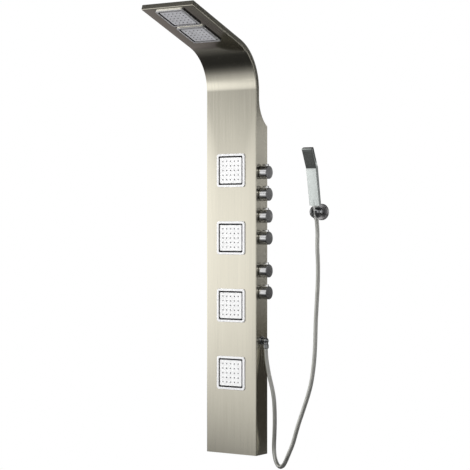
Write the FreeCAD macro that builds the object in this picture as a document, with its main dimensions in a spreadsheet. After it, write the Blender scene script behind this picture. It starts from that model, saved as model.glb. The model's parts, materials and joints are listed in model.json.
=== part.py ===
# Wall-hung shower panel column with a forward-leaning overhead arm, a hand shower and its wall holder.
#
# Frame: X to the right seen from the front, Y towards the wall, Z up, in millimetres.
# The wall is the plane Y = 0 and the panel's front face looks towards -Y. The origin is the middle of
# the upper wall bracket's two screw slots, on the wall. Heights named *_height are measured from the
# column's bottom edge, and base is that edge's own Z.

import FreeCAD, Part
import Sketcher
import math
import os

doc = FreeCAD.newDocument("shower_panel_column")
sizes = doc.addObject("Spreadsheet::Sheet", "sizes")


# ---------------------------------------------------------------------------------- sized values

class Size:
    """A value kept both as a number and as the sheet expression that gives it."""

    def __init__(self, value, text):
        self.value = value
        self.text = text

    def __add__(self, other):
        other = as_size(other)
        return Size(self.value + other.value, "(%s + %s)" % (self.text, other.text))

    def __sub__(self, other):
        other = as_size(other)
        return Size(self.value - other.value, "(%s - %s)" % (self.text, other.text))

    def __mul__(self, other):
        other = as_size(other)
        return Size(self.value * other.value, "(%s * %s)" % (self.text, other.text))

    def __truediv__(self, other):
        other = as_size(other)
        return Size(self.value / other.value, "(%s / %s)" % (self.text, other.text))

    def __radd__(self, other):
        return as_size(other) + self

    def __rsub__(self, other):
        return as_size(other) - self

    def __rmul__(self, other):
        return as_size(other) * self

    def __neg__(self):
        return Size(-self.value, "(0 - %s)" % self.text)


def as_size(value):
    """A plain number as a Size, for use in sums with sheet values."""
    if isinstance(value, Size):
        return value
    return Size(float(value), repr(float(value)))


def cosine(angle):
    """Cosine of an angle in degrees."""
    return Size(math.cos(math.radians(angle.value)), "cos(%s)" % angle.text)


def sine(angle):
    """Sine of an angle in degrees."""
    return Size(math.sin(math.radians(angle.value)), "sin(%s)" % angle.text)


def tangent(angle):
    """Tangent of an angle in degrees."""
    return Size(math.tan(math.radians(angle.value)), "tan(%s)" % angle.text)


def root(value):
    """Square root of a value."""
    return Size(math.sqrt(value.value), "sqrt(%s)" % value.text)


next_row = 1


def cell(alias, value):
    """Write one driving dimension into the sheet and return it."""
    global next_row
    sizes.set("A%d" % next_row, alias)
    sizes.set("B%d" % next_row, str(value))
    sizes.setAlias("B%d" % next_row, alias)
    next_row = next_row + 1
    return Size(float(value), "sizes." + alias)


# ---------------------------------------------------------------------------- driving dimensions

# Panel: one folded stainless sheet, a U with side flanges that run on round the bend into the arm.
panel_width = cell("panel_width", 200)
panel_depth = cell("panel_depth", 68)
sheet_thick = cell("sheet_thick", 1.5)
fold_radius = cell("fold_radius", 2.5)
bend_start = cell("bend_start_height", 1217)
bend_radius = cell("bend_radius", 150)
arm_angle = cell("arm_angle", 20)
arm_length = cell("arm_length", 285)
arm_flange = cell("arm_flange_depth", 17.5)
flare_start = cell("flare_start_height", 1190)
flare_radius = cell("flare_radius", 110)
cover_inset = cell("cover_inset", 1)
cover_thick = cell("cover_thick", 1)
cap_rim = cell("cap_rim_height", 12)
cap_thick = cell("cap_thick", 1.2)

# Wall brackets and the hooked rails that hang on them.
mount_height = cell("upper_mount_height", 1040)
lower_mount_height = cell("lower_mount_height", 120)
bracket_width = cell("bracket_width", 150)
bracket_thick = cell("bracket_thick", 2.5)
bracket_tall = cell("bracket_height", 40)
shelf_reach = cell("bracket_shelf_reach", 12)
lip_tall = cell("bracket_lip_height", 14)
slot_spacing = cell("bracket_slot_spacing", 120)
slot_width = cell("bracket_slot_width", 6)
slot_length = cell("bracket_slot_length", 14)
hanger_thick = cell("hanger_thick", 2)
hanger_play = cell("hanger_play", 0.5)
hanger_back = cell("hanger_back_drop", 10)
hanger_front = cell("hanger_front_drop", 26)

# Square spray units: the same unit four times on the column and twice under the arm.
bezel_width = cell("bezel_width", 112)
bezel_corner = cell("bezel_corner_radius", 10)
bezel_rim = cell("bezel_rim_width", 7.5)
bezel_proud = cell("bezel_proud", 5)
bezel_round = cell("bezel_edge_round", 1.5)
housing_flange = cell("housing_flange_width", 109)
housing_flange_thick = cell("housing_flange_thick", 1)
housing_width = cell("housing_width", 100.4)
housing_wall = cell("housing_wall", 2)
housing_deep = cell("housing_depth", 14.5)
housing_floor = cell("housing_floor_thick", 5)
cutout_play = cell("cutout_play", 0.3)
recess_play = cell("bezel_recess_play", 0.2)
spigot_depth = cell("spigot_depth", 12)
spigot_radius = cell("spigot_radius", 3)
spigot_length = cell("spigot_length", 7.8)
channel_radius = cell("channel_radius", 1.5)
ball_radius = cell("ball_radius", 5)
ball_depth = cell("ball_centre_depth", 6.5)
ball_play = cell("ball_play", 0.08)
collar_radius = cell("socket_collar_radius", 9)
collar_depth = cell("socket_collar_depth", 4)
plate_width = cell("plate_width", 86)
plate_corner = cell("plate_corner_radius", 3)
plate_proud = cell("plate_proud", 4)
plate_skin = cell("plate_skin", 1.2)
plate_wall = cell("plate_wall", 1.6)
plate_deep = cell("plate_depth", 4.5)
mat_thick = cell("mat_thick", 1.2)
chamber_deep = cell("chamber_depth", 1.2)
back_thick = cell("back_thick", 1.5)
nozzle_pitch = cell("nozzle_pitch", 15.4)
nozzle_radius = cell("nozzle_radius", 2)
nozzle_proud = cell("nozzle_proud", 0.9)
nozzle_bore = cell("nozzle_bore_radius", 0.6)
first_jet_height = cell("first_jet_height", 271)
jet_pitch = cell("jet_pitch", 226.4)
head_margin = cell("far_head_from_tip", 68)
head_pitch = cell("head_pitch", 122.5)

# Six stop valves with their knobs on the right flange.
valve_depth = cell("valve_axis_from_wall", 35)
top_valve_height = cell("top_valve_height", 942.6)
valve_pitch = cell("valve_pitch", 73)
valve_group_gap = cell("valve_group_gap", 109)
knob_radius = cell("knob_radius", 22)
knob_length = cell("knob_length", 30.2)
knob_gap = cell("knob_gap", 1)
knob_round = cell("knob_edge_round", 2)
knob_recess_radius = cell("knob_recess_radius", 16)
knob_recess = cell("knob_recess_depth", 8)
tab_length = cell("knob_tab_length", 22.5)
tab_thick = cell("knob_tab_thick", 4.5)
tab_rise = cell("knob_tab_rise", 6)
tab_start = cell("knob_tab_start", 4)
tab_round = cell("knob_tab_round", 1.5)
spindle_radius = cell("spindle_radius", 4)
spindle_reach = cell("spindle_reach", 24)
disc_radius = cell("spindle_disc_radius", 6)
disc_thick = cell("spindle_disc_thick", 4)
running_play = cell("running_play", 0.05)
cartridge_radius = cell("cartridge_radius", 9)
cartridge_reach = cell("cartridge_reach", 6)
cartridge_collar = cell("cartridge_collar_radius", 12)
cartridge_collar_thick = cell("cartridge_collar_thick", 3)
cartridge_seat = cell("cartridge_seat_depth", 10)
cartridge_play = cell("cartridge_hole_play", 0.3)
gland_width = cell("gland_nut_across_corners", 27)
gland_thick = cell("gland_nut_thick", 4.5)

# Valve manifold and the pipes that it feeds.
manifold_left = cell("manifold_left", 50)
manifold_right = cell("manifold_right", 80)
manifold_half = cell("manifold_half_depth", 13)
manifold_end = cell("manifold_end_length", 22)
gallery_x = cell("gallery_x", 66)
gallery_radius = cell("gallery_radius", 3.4)
chamber_radius = cell("valve_chamber_radius", 6)
pipe_radius = cell("pipe_radius", 5)
pipe_wall = cell("pipe_wall", 1)
riser_radius = cell("riser_radius", 4)
riser_depth = cell("riser_depth", 11)
riser_straight = cell("riser_first_length", 30)
riser_turn = cell("riser_turn_angle", 45)
riser_end = cell("riser_end_margin", 10)
inlet_radius = cell("inlet_thread_radius", 10.48)
inlet_thread = cell("inlet_thread_length", 13)
inlet_hex = cell("inlet_hex_across_corners", 27)
inlet_hex_thick = cell("inlet_hex_thick", 6)
inlet_bore = cell("inlet_bore_radius", 7)

# Hand shower outlet under the knobs.
outlet_height = cell("outlet_height", 382)
outlet_reach = cell("outlet_reach", 17)
outlet_rose = cell("outlet_rose_radius", 14)
outlet_rose_thick = cell("outlet_rose_thick", 4)
outlet_rose_round = cell("outlet_rose_round", 1.5)
outlet_body = cell("outlet_body_radius", 10)
outlet_leg = cell("outlet_leg_radius", 8)
outlet_leg_length = cell("outlet_leg_length", 20)
outlet_nipple = cell("outlet_nipple_radius", 7)
outlet_nipple_length = cell("outlet_nipple_length", 12)
nut_radius = cell("hose_nut_radius", 9.6)
nut_length = cell("hose_nut_length", 14)
nut_start = cell("hose_nut_start", 12)
nut_chamfer = cell("hose_nut_chamfer", 1.2)
hose_diameter = cell("hose_diameter", 14)
hose_bore = cell("hose_fitting_bore_radius", 4)
hose_end_run = cell("hose_last_run", 42)
hose_play = cell("hose_nut_play", 0.25)

# Wall holder and hand shower.
holder_x = cell("holder_x", 313)
holder_height = cell("holder_height", 810)
holder_rose = cell("holder_rose_radius", 27)
holder_rose_deep = cell("holder_rose_depth", 9)
holder_rose_wall = cell("holder_rose_wall", 1.2)
holder_rose_round = cell("holder_rose_round", 2.5)
holder_base = cell("holder_base_radius", 25)
holder_base_thick = cell("holder_base_thick", 5)
holder_stem = cell("holder_stem_radius", 8)
holder_stem_sink = cell("holder_stem_sink", 3)
holder_screw_spacing = cell("holder_screw_spacing", 32)
holder_screw_radius = cell("holder_screw_radius", 2.5)
cradle_radius = cell("cradle_radius", 21.5)
cradle_from_wall = cell("cradle_from_wall", 38)
cradle_slot = cell("cradle_slot_width", 15)
cradle_round = cell("cradle_slot_round", 1)
lean = cell("handset_lean", 10)
cone_above = cell("cone_above_cradle_centre", 21)
cone_below = cell("cone_below_cradle_centre", 24)
cone_top = cell("cone_top_radius", 11.4)
cone_low = cell("cone_low_radius", 9)
cone_play = cell("cone_play", 0.08)
handset_gap = cell("handset_foot_gap", 0.6)
handset_width = cell("handset_width", 40)
handset_length = cell("handset_body_length", 123)
handset_foot_thick = cell("handset_foot_thick", 11)
handset_neck_thick = cell("handset_neck_thick", 14)
handset_round = cell("handset_edge_round", 3)
head_tilt = cell("handset_head_tilt", 14)
head_length = cell("handset_head_length", 69)
stub_radius = cell("handset_stub_radius", 7)
stub_length = cell("handset_stub_length", 12)
groove_width = cell("handset_groove_width", 3)
groove_deep = cell("handset_groove_depth", 1)
groove_tall = cell("handset_groove_height", 20)
face_width = cell("handset_face_width", 34)
face_tall = cell("handset_face_height", 44)
face_centre = cell("handset_face_centre", 34)
face_deep = cell("handset_face_pocket", 4)
face_thick = cell("handset_face_thick", 2)
face_play = cell("handset_face_play", 0.2)
face_corner = cell("handset_face_corner", 2)
hand_pitch = cell("handset_nozzle_pitch", 7.6)
hand_nozzle = cell("handset_nozzle_radius", 1.2)

base = -mount_height


# ------------------------------------------------------------------------------- small builders

def bind(thing, prop, value):
    """Bind one property of an object to a sheet expression."""
    thing.setExpression(prop, as_size(value).text)


def place(thing, x=0, y=0, z=0, turn=None):
    """Place an object, with an optional turn about X in degrees."""
    if turn is not None:
        thing.Placement = FreeCAD.Placement(FreeCAD.Vector(), FreeCAD.Rotation(FreeCAD.Vector(1, 0, 0), 1))
        bind(thing, "Placement.Rotation.Angle", turn)
    return place_base(thing, x, y, z)


def box(name, x0, x1, y0, y1, z0, z1):
    """A box between two corners."""
    thing = doc.addObject("Part::Box", name)
    bind(thing, "Length", as_size(x1) - x0)
    bind(thing, "Width", as_size(y1) - y0)
    bind(thing, "Height", as_size(z1) - z0)
    return place(thing, x0, y0, z0)


AXIS_TURNS = {"x": FreeCAD.Rotation(FreeCAD.Vector(0, 1, 0), 90),
              "y": FreeCAD.Rotation(FreeCAD.Vector(1, 0, 0), -90),
              "z": FreeCAD.Rotation()}


def place_base(thing, x, y, z):
    """Bind an object's position and leave its turn as it is."""
    bind(thing, "Placement.Base.x", x)
    bind(thing, "Placement.Base.y", y)
    bind(thing, "Placement.Base.z", z)
    return thing


def cylinder(name, axis, x, y, z, radius, length):
    """A cylinder that starts at a point and runs along +axis."""
    thing = doc.addObject("Part::Cylinder", name)
    bind(thing, "Radius", radius)
    bind(thing, "Height", length)
    thing.Placement = FreeCAD.Placement(FreeCAD.Vector(), AXIS_TURNS[axis])
    return place_base(thing, x, y, z)


def cone(name, x, y, z, radius_low, radius_high, length):
    """A cone that starts at a point and runs along +Z."""
    thing = doc.addObject("Part::Cone", name)
    bind(thing, "Radius1", radius_low)
    bind(thing, "Radius2", radius_high)
    bind(thing, "Height", length)
    return place(thing, x, y, z)


def hexagon(name, x, y, z, across_corners, length):
    """A six-sided bar that starts at a point and runs along +X."""
    thing = doc.addObject("Part::Prism", name)
    thing.Polygon = 6
    bind(thing, "Circumradius", across_corners / 2)
    bind(thing, "Height", length)
    thing.Placement = FreeCAD.Placement(FreeCAD.Vector(), AXIS_TURNS["x"])
    return place_base(thing, x, y, z)


def sphere(name, x, y, z, radius):
    """A ball round a point."""
    thing = doc.addObject("Part::Sphere", name)
    bind(thing, "Radius", radius)
    return place(thing, x, y, z)


def fuse(name, shapes):
    """One solid out of several."""
    thing = doc.addObject("Part::MultiFuse", name)
    thing.Shapes = shapes
    thing.Refine = True
    return thing


def cut(name, body, tools):
    """A solid with one or more others taken out of it."""
    thing = doc.addObject("Part::Cut", name)
    thing.Base = body
    thing.Tool = tools[0] if len(tools) == 1 else fuse(name + "_tools", tools)
    thing.Refine = True
    return thing


def group(name, shapes):
    """Several separate solids kept as one named piece."""
    thing = doc.addObject("Part::Compound", name)
    thing.Links = shapes
    thing.Label = name
    return thing


def new_body(name):
    """An empty body of the given name."""
    body = doc.addObject("PartDesign::Body", name)
    body.Label = name
    return body


def new_sketch(body, name, plane, offset=0):
    """A sketch on one of the body's own origin planes, moved along the plane's normal."""
    sketch = body.newObject("Sketcher::SketchObject", name)
    for feature in body.Origin.OriginFeatures:
        if feature.Role == plane:
            sketch.AttachmentSupport = (feature, "")
    sketch.MapMode = "FlatFace"
    sketch.setExpression("AttachmentOffset.Base.z", as_size(offset).text)
    return sketch


def limit(sketch, kind, *parts):
    """Add a sketch constraint whose last part is a Size and bind it to the sheet."""
    value = as_size(parts[-1])
    numbers = parts[:-1] + (value.value,)
    index = sketch.addConstraint(Sketcher.Constraint(kind, *numbers))
    sketch.setExpression("Constraints[%d]" % index, value.text)


def point(x, y):
    """A sketch point as a vector."""
    return FreeCAD.Vector(as_size(x).value, as_size(y).value, 0)


def outline(sketch, corners, arcs=None, closed=True):
    """Draw a chain of lines and arcs through corners, each corner held at its own two distances.

    arcs gives, for the edge that leaves a corner, the arc's centre, its radius and the way it turns.
    """
    arcs = arcs or {}
    count = len(corners)
    edges = count if closed else count - 1
    ends = []
    for i in range(edges):
        first = point(*corners[i])
        last = point(*corners[(i + 1) % count])
        if i in arcs:
            centre, radius, way = arcs[i]
            middle = point(*centre)
            start = first if way == "left" else last
            stop = last if way == "left" else first
            circle = Part.Circle(middle, FreeCAD.Vector(0, 0, 1), radius.value)
            low = math.atan2(start.y - middle.y, start.x - middle.x)
            high = math.atan2(stop.y - middle.y, stop.x - middle.x)
            if high < low:
                high = high + 2 * math.pi
            index = sketch.addGeometry(Part.ArcOfCircle(circle, low, high), False)
            if near((first - last).Length, 2 * radius.value):
                limit(sketch, "DistanceX", -1, 1, index, 3, centre[0])
            else:
                limit(sketch, "Radius", index, radius)
            ends.append((index, 1, 2) if way == "left" else (index, 2, 1))
        else:
            index = sketch.addGeometry(Part.LineSegment(first, last), False)
            ends.append((index, 1, 2))
    for i in range(edges if closed else edges - 1):
        here = ends[i]
        after = ends[(i + 1) % edges]
        sketch.addConstraint(Sketcher.Constraint("Coincident", here[0], here[2], after[0], after[1]))
    for i in range(count):
        index, mark = (ends[i][0], ends[i][1]) if i < edges else (ends[-1][0], ends[-1][2])
        limit(sketch, "DistanceX", -1, 1, index, mark, corners[i][0])
        limit(sketch, "DistanceY", -1, 1, index, mark, corners[i][1])


def rectangle(sketch, x0, x1, y0, y1):
    """Draw an upright rectangle."""
    outline(sketch, [(x0, y0), (x1, y0), (x1, y1), (x0, y1)])


def rounded(sketch, half_x, half_y, radius):
    """Draw a rectangle round the origin with rounded corners."""
    inner_x = half_x - radius
    inner_y = half_y - radius
    corners = [(inner_x, -half_y), (half_x, -inner_y), (half_x, inner_y), (inner_x, half_y),
               (-inner_x, half_y), (-half_x, inner_y), (-half_x, -inner_y), (-inner_x, -half_y)]
    arcs = {0: ((inner_x, -inner_y), radius, "left"), 2: ((inner_x, inner_y), radius, "left"),
            4: ((-inner_x, inner_y), radius, "left"), 6: ((-inner_x, -inner_y), radius, "left")}
    outline(sketch, corners, arcs)


def circle(sketch, x, y, radius):
    """Draw a full circle."""
    shape = Part.Circle(point(x, y), FreeCAD.Vector(0, 0, 1), as_size(radius).value)
    index = sketch.addGeometry(shape, False)
    limit(sketch, "Radius", index, radius)
    limit(sketch, "DistanceX", -1, 1, index, 3, x)
    limit(sketch, "DistanceY", -1, 1, index, 3, y)


def pad(body, sketch, length, both_ways=False, backwards=False):
    """Add material along the sketch's normal."""
    feature = body.newObject("PartDesign::Pad", sketch.Name + "_pad")
    feature.Profile = sketch
    feature.Midplane = both_ways
    feature.Reversed = backwards
    bind(feature, "Length", length)
    return feature


def pocket(body, sketch, length, both_ways=False, backwards=False):
    """Take material away against the sketch's normal."""
    feature = body.newObject("PartDesign::Pocket", sketch.Name + "_pocket")
    feature.Profile = sketch
    feature.Midplane = both_ways
    feature.Reversed = backwards
    bind(feature, "Length", length)
    return feature


def revolve(body, sketch, axis):
    """Turn a sketch a full turn about one of its own axes."""
    feature = body.newObject("PartDesign::Revolution", sketch.Name + "_turned")
    feature.Profile = sketch
    feature.ReferenceAxis = (sketch, [axis])
    feature.Angle = 360
    return feature


def round_edges(body, radius, wanted):
    """Round those edges of the body's last feature that the test picks out."""
    doc.recompute()
    last = body.Tip
    names = []
    for i, edge in enumerate(last.Shape.Edges):
        if wanted(edge):
            names.append("Edge%d" % (i + 1))
    feature = body.newObject("PartDesign::Fillet", body.Name + "_round")
    feature.Base = (last, names)
    bind(feature, "Radius", radius)
    return feature


def near(a, b, slack=0.01):
    """Whether two numbers agree."""
    return abs(a - b) < slack


# ------------------------------------------------------------------------------------ the panel

half_width = panel_width / 2
bend_z = base + bend_start
bend_y = -panel_depth - bend_radius
flare_z = base + flare_start
flare_y = -panel_depth + arm_flange + flare_radius
across_y = sine(arm_angle)
across_z = cosine(arm_angle)


def on_bend_end(radius):
    """The bend's end, where the arm starts, at a radius from the bend's centre."""
    return (bend_y + radius * across_y, bend_z + radius * across_z)


def on_arm(distance, depth):
    """A point of the arm: distance from the bend's end along it, depth above its underside."""
    y, z = on_bend_end(bend_radius + depth)
    return (y - distance * across_z, z + distance * across_y)


def on_flare(radius):
    """The flare's lower end, on the line from the flare's centre to the panel's corner at the wall."""
    corner_y = -flare_y
    corner_z = -root(flare_radius * flare_radius - flare_y * flare_y)
    return (flare_y + corner_y * radius / flare_radius, flare_z + corner_z * radius / flare_radius)


head_distances = [arm_length - head_margin, arm_length - head_margin - head_pitch]
jet_heights = [first_jet_height + jet_pitch * i for i in range(4)]
valve_heights = [top_valve_height - valve_pitch * i for i in range(4)]
mixer_valve_height = valve_heights[3] - valve_group_gap
valve_heights = valve_heights + [mixer_valve_height, mixer_valve_height - valve_pitch]


def build_front_panel():
    """Front sheet with both side flanges, the bend, the arm's underside and its folded tip."""
    body = new_body("front_panel")
    side = new_sketch(body, "panel_side", "YZ_Plane")
    corners = [(-panel_depth, base), (-panel_depth, bend_z), on_bend_end(bend_radius),
               on_arm(arm_length, 0), on_arm(arm_length, arm_flange), on_bend_end(bend_radius + arm_flange),
               (-panel_depth + arm_flange, bend_z), (-panel_depth + arm_flange, flare_z),
               on_flare(flare_radius), (as_size(0), base)]
    arcs = {1: ((bend_y, bend_z), bend_radius, "left"),
            5: ((bend_y, bend_z), bend_radius + arm_flange, "right"),
            7: ((flare_y, flare_z), flare_radius, "left")}
    outline(side, corners, arcs)
    pad(body, side, panel_width, both_ways=True)

    def front_fold(edge):
        """Long outer folds of the front face, and the fold at the tip."""
        box_of = edge.BoundBox
        middle = edge.valueAt((edge.FirstParameter + edge.LastParameter) / 2)
        tip_y, tip_z = on_arm(arm_length, 0)
        at_tip = near(middle.y, tip_y.value) and near(middle.z, tip_z.value) and box_of.XLength > 1
        straight = near(box_of.YMin, -panel_depth.value) and near(box_of.YMax, -panel_depth.value)
        long_side = straight and box_of.ZLength > 1 and box_of.XLength < 1
        from_centre = math.hypot(middle.y - bend_y.value, middle.z - bend_z.value)
        bent = near(from_centre, bend_radius.value) and box_of.XLength < 1
        lift = (middle.y - tip_y.value) * across_y.value + (middle.z - tip_z.value) * across_z.value
        arm_side = near(lift, 0) and box_of.XLength < 1 and middle.y < -panel_depth.value - 1
        return at_tip or long_side or bent or arm_side

    round_edges(body, fold_radius, front_fold)

    spare = as_size(10)
    hollow = new_sketch(body, "panel_hollow", "YZ_Plane")
    inner_tip = on_arm(arm_length - sheet_thick, sheet_thick)
    above_tip = on_arm(arm_length - sheet_thick, arm_flange + spare)
    corners = [(-panel_depth + sheet_thick, base - spare), (-panel_depth + sheet_thick, bend_z),
               on_bend_end(bend_radius + sheet_thick), inner_tip, above_tip,
               (spare, above_tip[1]), (spare, base - spare)]
    outline(hollow, corners, {1: ((bend_y, bend_z), bend_radius + sheet_thick, "left")})
    pocket(body, hollow, panel_width - 2 * sheet_thick, both_ways=True)

    cutout = housing_width + 2 * cutout_play
    openings = new_sketch(body, "spray_cutouts", "YZ_Plane")
    through = sheet_thick + 1
    for height in jet_heights:
        rectangle(openings, -panel_depth - 1, -panel_depth + through,
                  base + height - cutout / 2, base + height + cutout / 2)
    for distance in head_distances:
        near_end = distance - cutout / 2
        far_end = distance + cutout / 2
        outline(openings, [on_arm(near_end, as_size(-1)), on_arm(near_end, through),
                           on_arm(far_end, through), on_arm(far_end, as_size(-1))])
    pocket(body, openings, cutout, both_ways=True)

    holes = new_sketch(body, "flange_holes", "YZ_Plane", half_width + 1)
    for height in valve_heights:
        circle(holes, -valve_depth, base + height, cartridge_radius + cartridge_play)
    circle(holes, -valve_depth, base + outlet_height, outlet_nipple + cartridge_play)
    pocket(body, holes, sheet_thick + 2)
    return body


def build_arm_cover():
    """Thin sheet that closes the back of the arm, the bend and the flare, inside the flanges."""
    body = new_body("arm_cover")
    side = new_sketch(body, "cover_side", "YZ_Plane")
    high = arm_flange - cover_inset
    low = high - cover_thick
    end = arm_length - sheet_thick
    corners = [on_arm(end, low), on_arm(end, high), on_bend_end(bend_radius + high),
               (-panel_depth + high, bend_z), (-panel_depth + high, flare_z),
               on_flare(flare_radius + cover_inset), on_flare(flare_radius + cover_inset + cover_thick),
               (-panel_depth + low, flare_z), (-panel_depth + low, bend_z), on_bend_end(bend_radius + low)]
    arcs = {2: ((bend_y, bend_z), bend_radius + high, "right"),
            4: ((flare_y, flare_z), flare_radius + cover_inset, "left"),
            6: ((flare_y, flare_z), flare_radius + cover_inset + cover_thick, "right"),
            8: ((bend_y, bend_z), bend_radius + low, "left")}
    outline(side, corners, arcs)
    pad(body, side, panel_width - 2 * sheet_thick, both_ways=True)
    return body


def build_bottom_cap():
    """Shallow tray that closes the column's lower end."""
    inner_x = half_width - sheet_thick
    front_y = -panel_depth + sheet_thick
    tray = box("cap_tray", -inner_x, inner_x, front_y, -cover_inset, base, base + cap_rim)
    room = box("cap_room", -inner_x + cap_thick, inner_x - cap_thick, front_y + cap_thick, as_size(5),
               base + cap_thick, base + cap_rim + 5)
    cap = cut("bottom_cap", tray, [room])
    cap.Label = "bottom_cap"
    return cap


# ------------------------------------------------------------------- wall brackets and hangers

def build_wall_bracket(name, height):
    """Z-shaped rail screwed to the wall: back plate with two slots, shelf and upright lip."""
    body = new_body(name)
    side = new_sketch(body, name + "_side", "YZ_Plane")
    half = bracket_tall / 2
    shelf = half + bracket_thick
    front = shelf_reach + bracket_thick
    corners = [(as_size(0), -half), (as_size(0), shelf), (-shelf_reach, shelf),
               (-shelf_reach, shelf + lip_tall), (-front, shelf + lip_tall), (-front, half),
               (-bracket_thick, half), (-bracket_thick, -half)]
    outline(side, corners)
    pad(body, side, bracket_width, both_ways=True)
    slots = new_sketch(body, name + "_slots", "XZ_Plane", bracket_thick + 1)
    radius = slot_width / 2
    reach = slot_length / 2 - radius
    for side_of in (-1, 1):
        middle = slot_spacing / 2 * side_of
        corners = [(middle - reach, -radius), (middle + reach, -radius),
                   (middle + reach, radius), (middle - reach, radius)]
        arcs = {1: ((middle + reach, as_size(0)), radius, "left"),
                3: ((middle - reach, as_size(0)), radius, "left")}
        outline(slots, corners, arcs)
    pocket(body, slots, bracket_thick + 2)
    place(body, 0, 0, base + height)
    return body


def build_hanger(name, height):
    """Hooked rail welded between the flanges, resting over the bracket's lip."""
    body = new_body(name)
    side = new_sketch(body, name + "_side", "YZ_Plane")
    top = bracket_tall / 2 + bracket_thick + lip_tall
    back_in = -shelf_reach + hanger_play
    back_out = back_in + hanger_thick
    front_in = -shelf_reach - bracket_thick - hanger_play
    front_out = front_in - hanger_thick
    corners = [(back_out, top - hanger_back), (back_out, top + hanger_thick),
               (front_out, top + hanger_thick), (front_out, top - hanger_front),
               (front_in, top - hanger_front), (front_in, top), (back_in, top), (back_in, top - hanger_back)]
    outline(side, corners)
    pad(body, side, panel_width - 2 * sheet_thick, both_ways=True)
    place(body, 0, 0, base + height)
    return body


# ---------------------------------------------------------------------------------- spray units
#
# A unit's own frame has its origin on the panel's face at the unit's middle, with -Y out of the face
# and depths along +Y.

def nozzle_places():
    """Middle of each of the unit's nozzles, five rows of five."""
    return [(nozzle_pitch * column, nozzle_pitch * row) for row in range(-2, 3) for column in range(-2, 3)]


def build_bezel(name):
    """Square chromed frame over the housing's flange."""
    body = new_body(name + "_bezel")
    frame = new_sketch(body, name + "_bezel_frame", "XZ_Plane")
    half = bezel_width / 2
    rounded(frame, half, half, bezel_corner)
    opening = half - bezel_rim
    rounded(frame, opening, opening, bezel_corner - bezel_rim + 1)
    pad(body, frame, bezel_proud)
    recess = new_sketch(body, name + "_bezel_recess", "XZ_Plane")
    wide = housing_flange / 2 + recess_play
    rectangle(recess, -wide, wide, -wide, wide)
    pocket(body, recess, housing_flange_thick + recess_play, backwards=True)

    def outer_front(edge):
        """Edges of the frame's outer outline on its front face."""
        box_of = edge.BoundBox
        on_front = near(box_of.YMax, -bezel_proud.value) and near(box_of.YMin, -bezel_proud.value)
        middle = edge.valueAt((edge.FirstParameter + edge.LastParameter) / 2)
        return on_front and max(abs(middle.x), abs(middle.z)) > opening.value + 1

    round_edges(body, bezel_round, outer_front)
    return body


def build_housing(name):
    """Flanged square housing with a ball socket on its floor and a side spigot."""
    flange_half = housing_flange / 2
    half = housing_width / 2
    inner = half - housing_wall
    floor = housing_deep - housing_floor
    flange = box(name + "_flange", -flange_half, flange_half, -housing_flange_thick, 0, -flange_half, flange_half)
    tub = box(name + "_tub", -half, half, -housing_flange_thick, housing_deep, -half, half)
    room = box(name + "_room", -inner, inner, -housing_flange_thick - 1, floor, -inner, inner)
    shell = cut(name + "_shell", fuse(name + "_outside", [flange, tub]), [room])
    collar = cylinder(name + "_collar", "y", 0, collar_depth, 0, collar_radius, floor - collar_depth + 1)
    spigot = cylinder(name + "_spigot", "x", half - 1, spigot_depth, 0, spigot_radius, spigot_length + 1)
    solid = fuse(name + "_solid", [shell, collar, spigot])
    socket = sphere(name + "_socket", 0, ball_depth, 0, ball_radius + ball_play)
    mouth = cylinder(name + "_mouth", "y", 0, collar_depth - 1, 0, ball_radius - 0.5, as_size(2))
    channel = cylinder(name + "_channel", "x", 0, spigot_depth, 0, channel_radius, half + spigot_length + 1)
    return cut(name + "_housing", solid, [socket, mouth, channel])


def build_plate(name):
    """Spray plate: a shallow tray open at the back, with a hole for each nozzle."""
    body = new_body(name + "_plate")
    half = plate_width / 2
    rear = plate_deep - plate_proud
    tray = new_sketch(body, name + "_plate_tray", "XZ_Plane", -rear)
    rounded(tray, half, half, plate_corner)
    pad(body, tray, plate_deep)
    room = new_sketch(body, name + "_plate_room", "XZ_Plane", -rear)
    inner = half - plate_wall
    rectangle(room, -inner, inner, -inner, inner)
    pocket(body, room, plate_deep - plate_skin, backwards=True)
    holes = new_sketch(body, name + "_plate_holes", "XZ_Plane", plate_proud)
    for x, z in nozzle_places():
        circle(holes, x, z, nozzle_radius)
    pocket(body, holes, plate_skin + 0.5)
    return body


def build_mat(name):
    """Rubber mat behind the plate's skin with a nozzle through each hole."""
    body = new_body(name + "_nozzle_mat")
    half = plate_width / 2 - plate_wall
    front = plate_proud - plate_skin
    sheet = new_sketch(body, name + "_mat_sheet", "XZ_Plane", front - mat_thick)
    rectangle(sheet, -half, half, -half, half)
    pad(body, sheet, mat_thick)
    nozzles = new_sketch(body, name + "_mat_nozzles", "XZ_Plane", front - mat_thick / 2)
    for x, z in nozzle_places():
        circle(nozzles, x, z, nozzle_radius)
    pad(body, nozzles, mat_thick / 2 + plate_skin + nozzle_proud)
    bores = new_sketch(body, name + "_mat_bores", "XZ_Plane", plate_proud + nozzle_proud)
    for x, z in nozzle_places():
        circle(bores, x, z, nozzle_bore)
    pocket(body, bores, mat_thick + plate_skin + nozzle_proud + 1)
    return body


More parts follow.
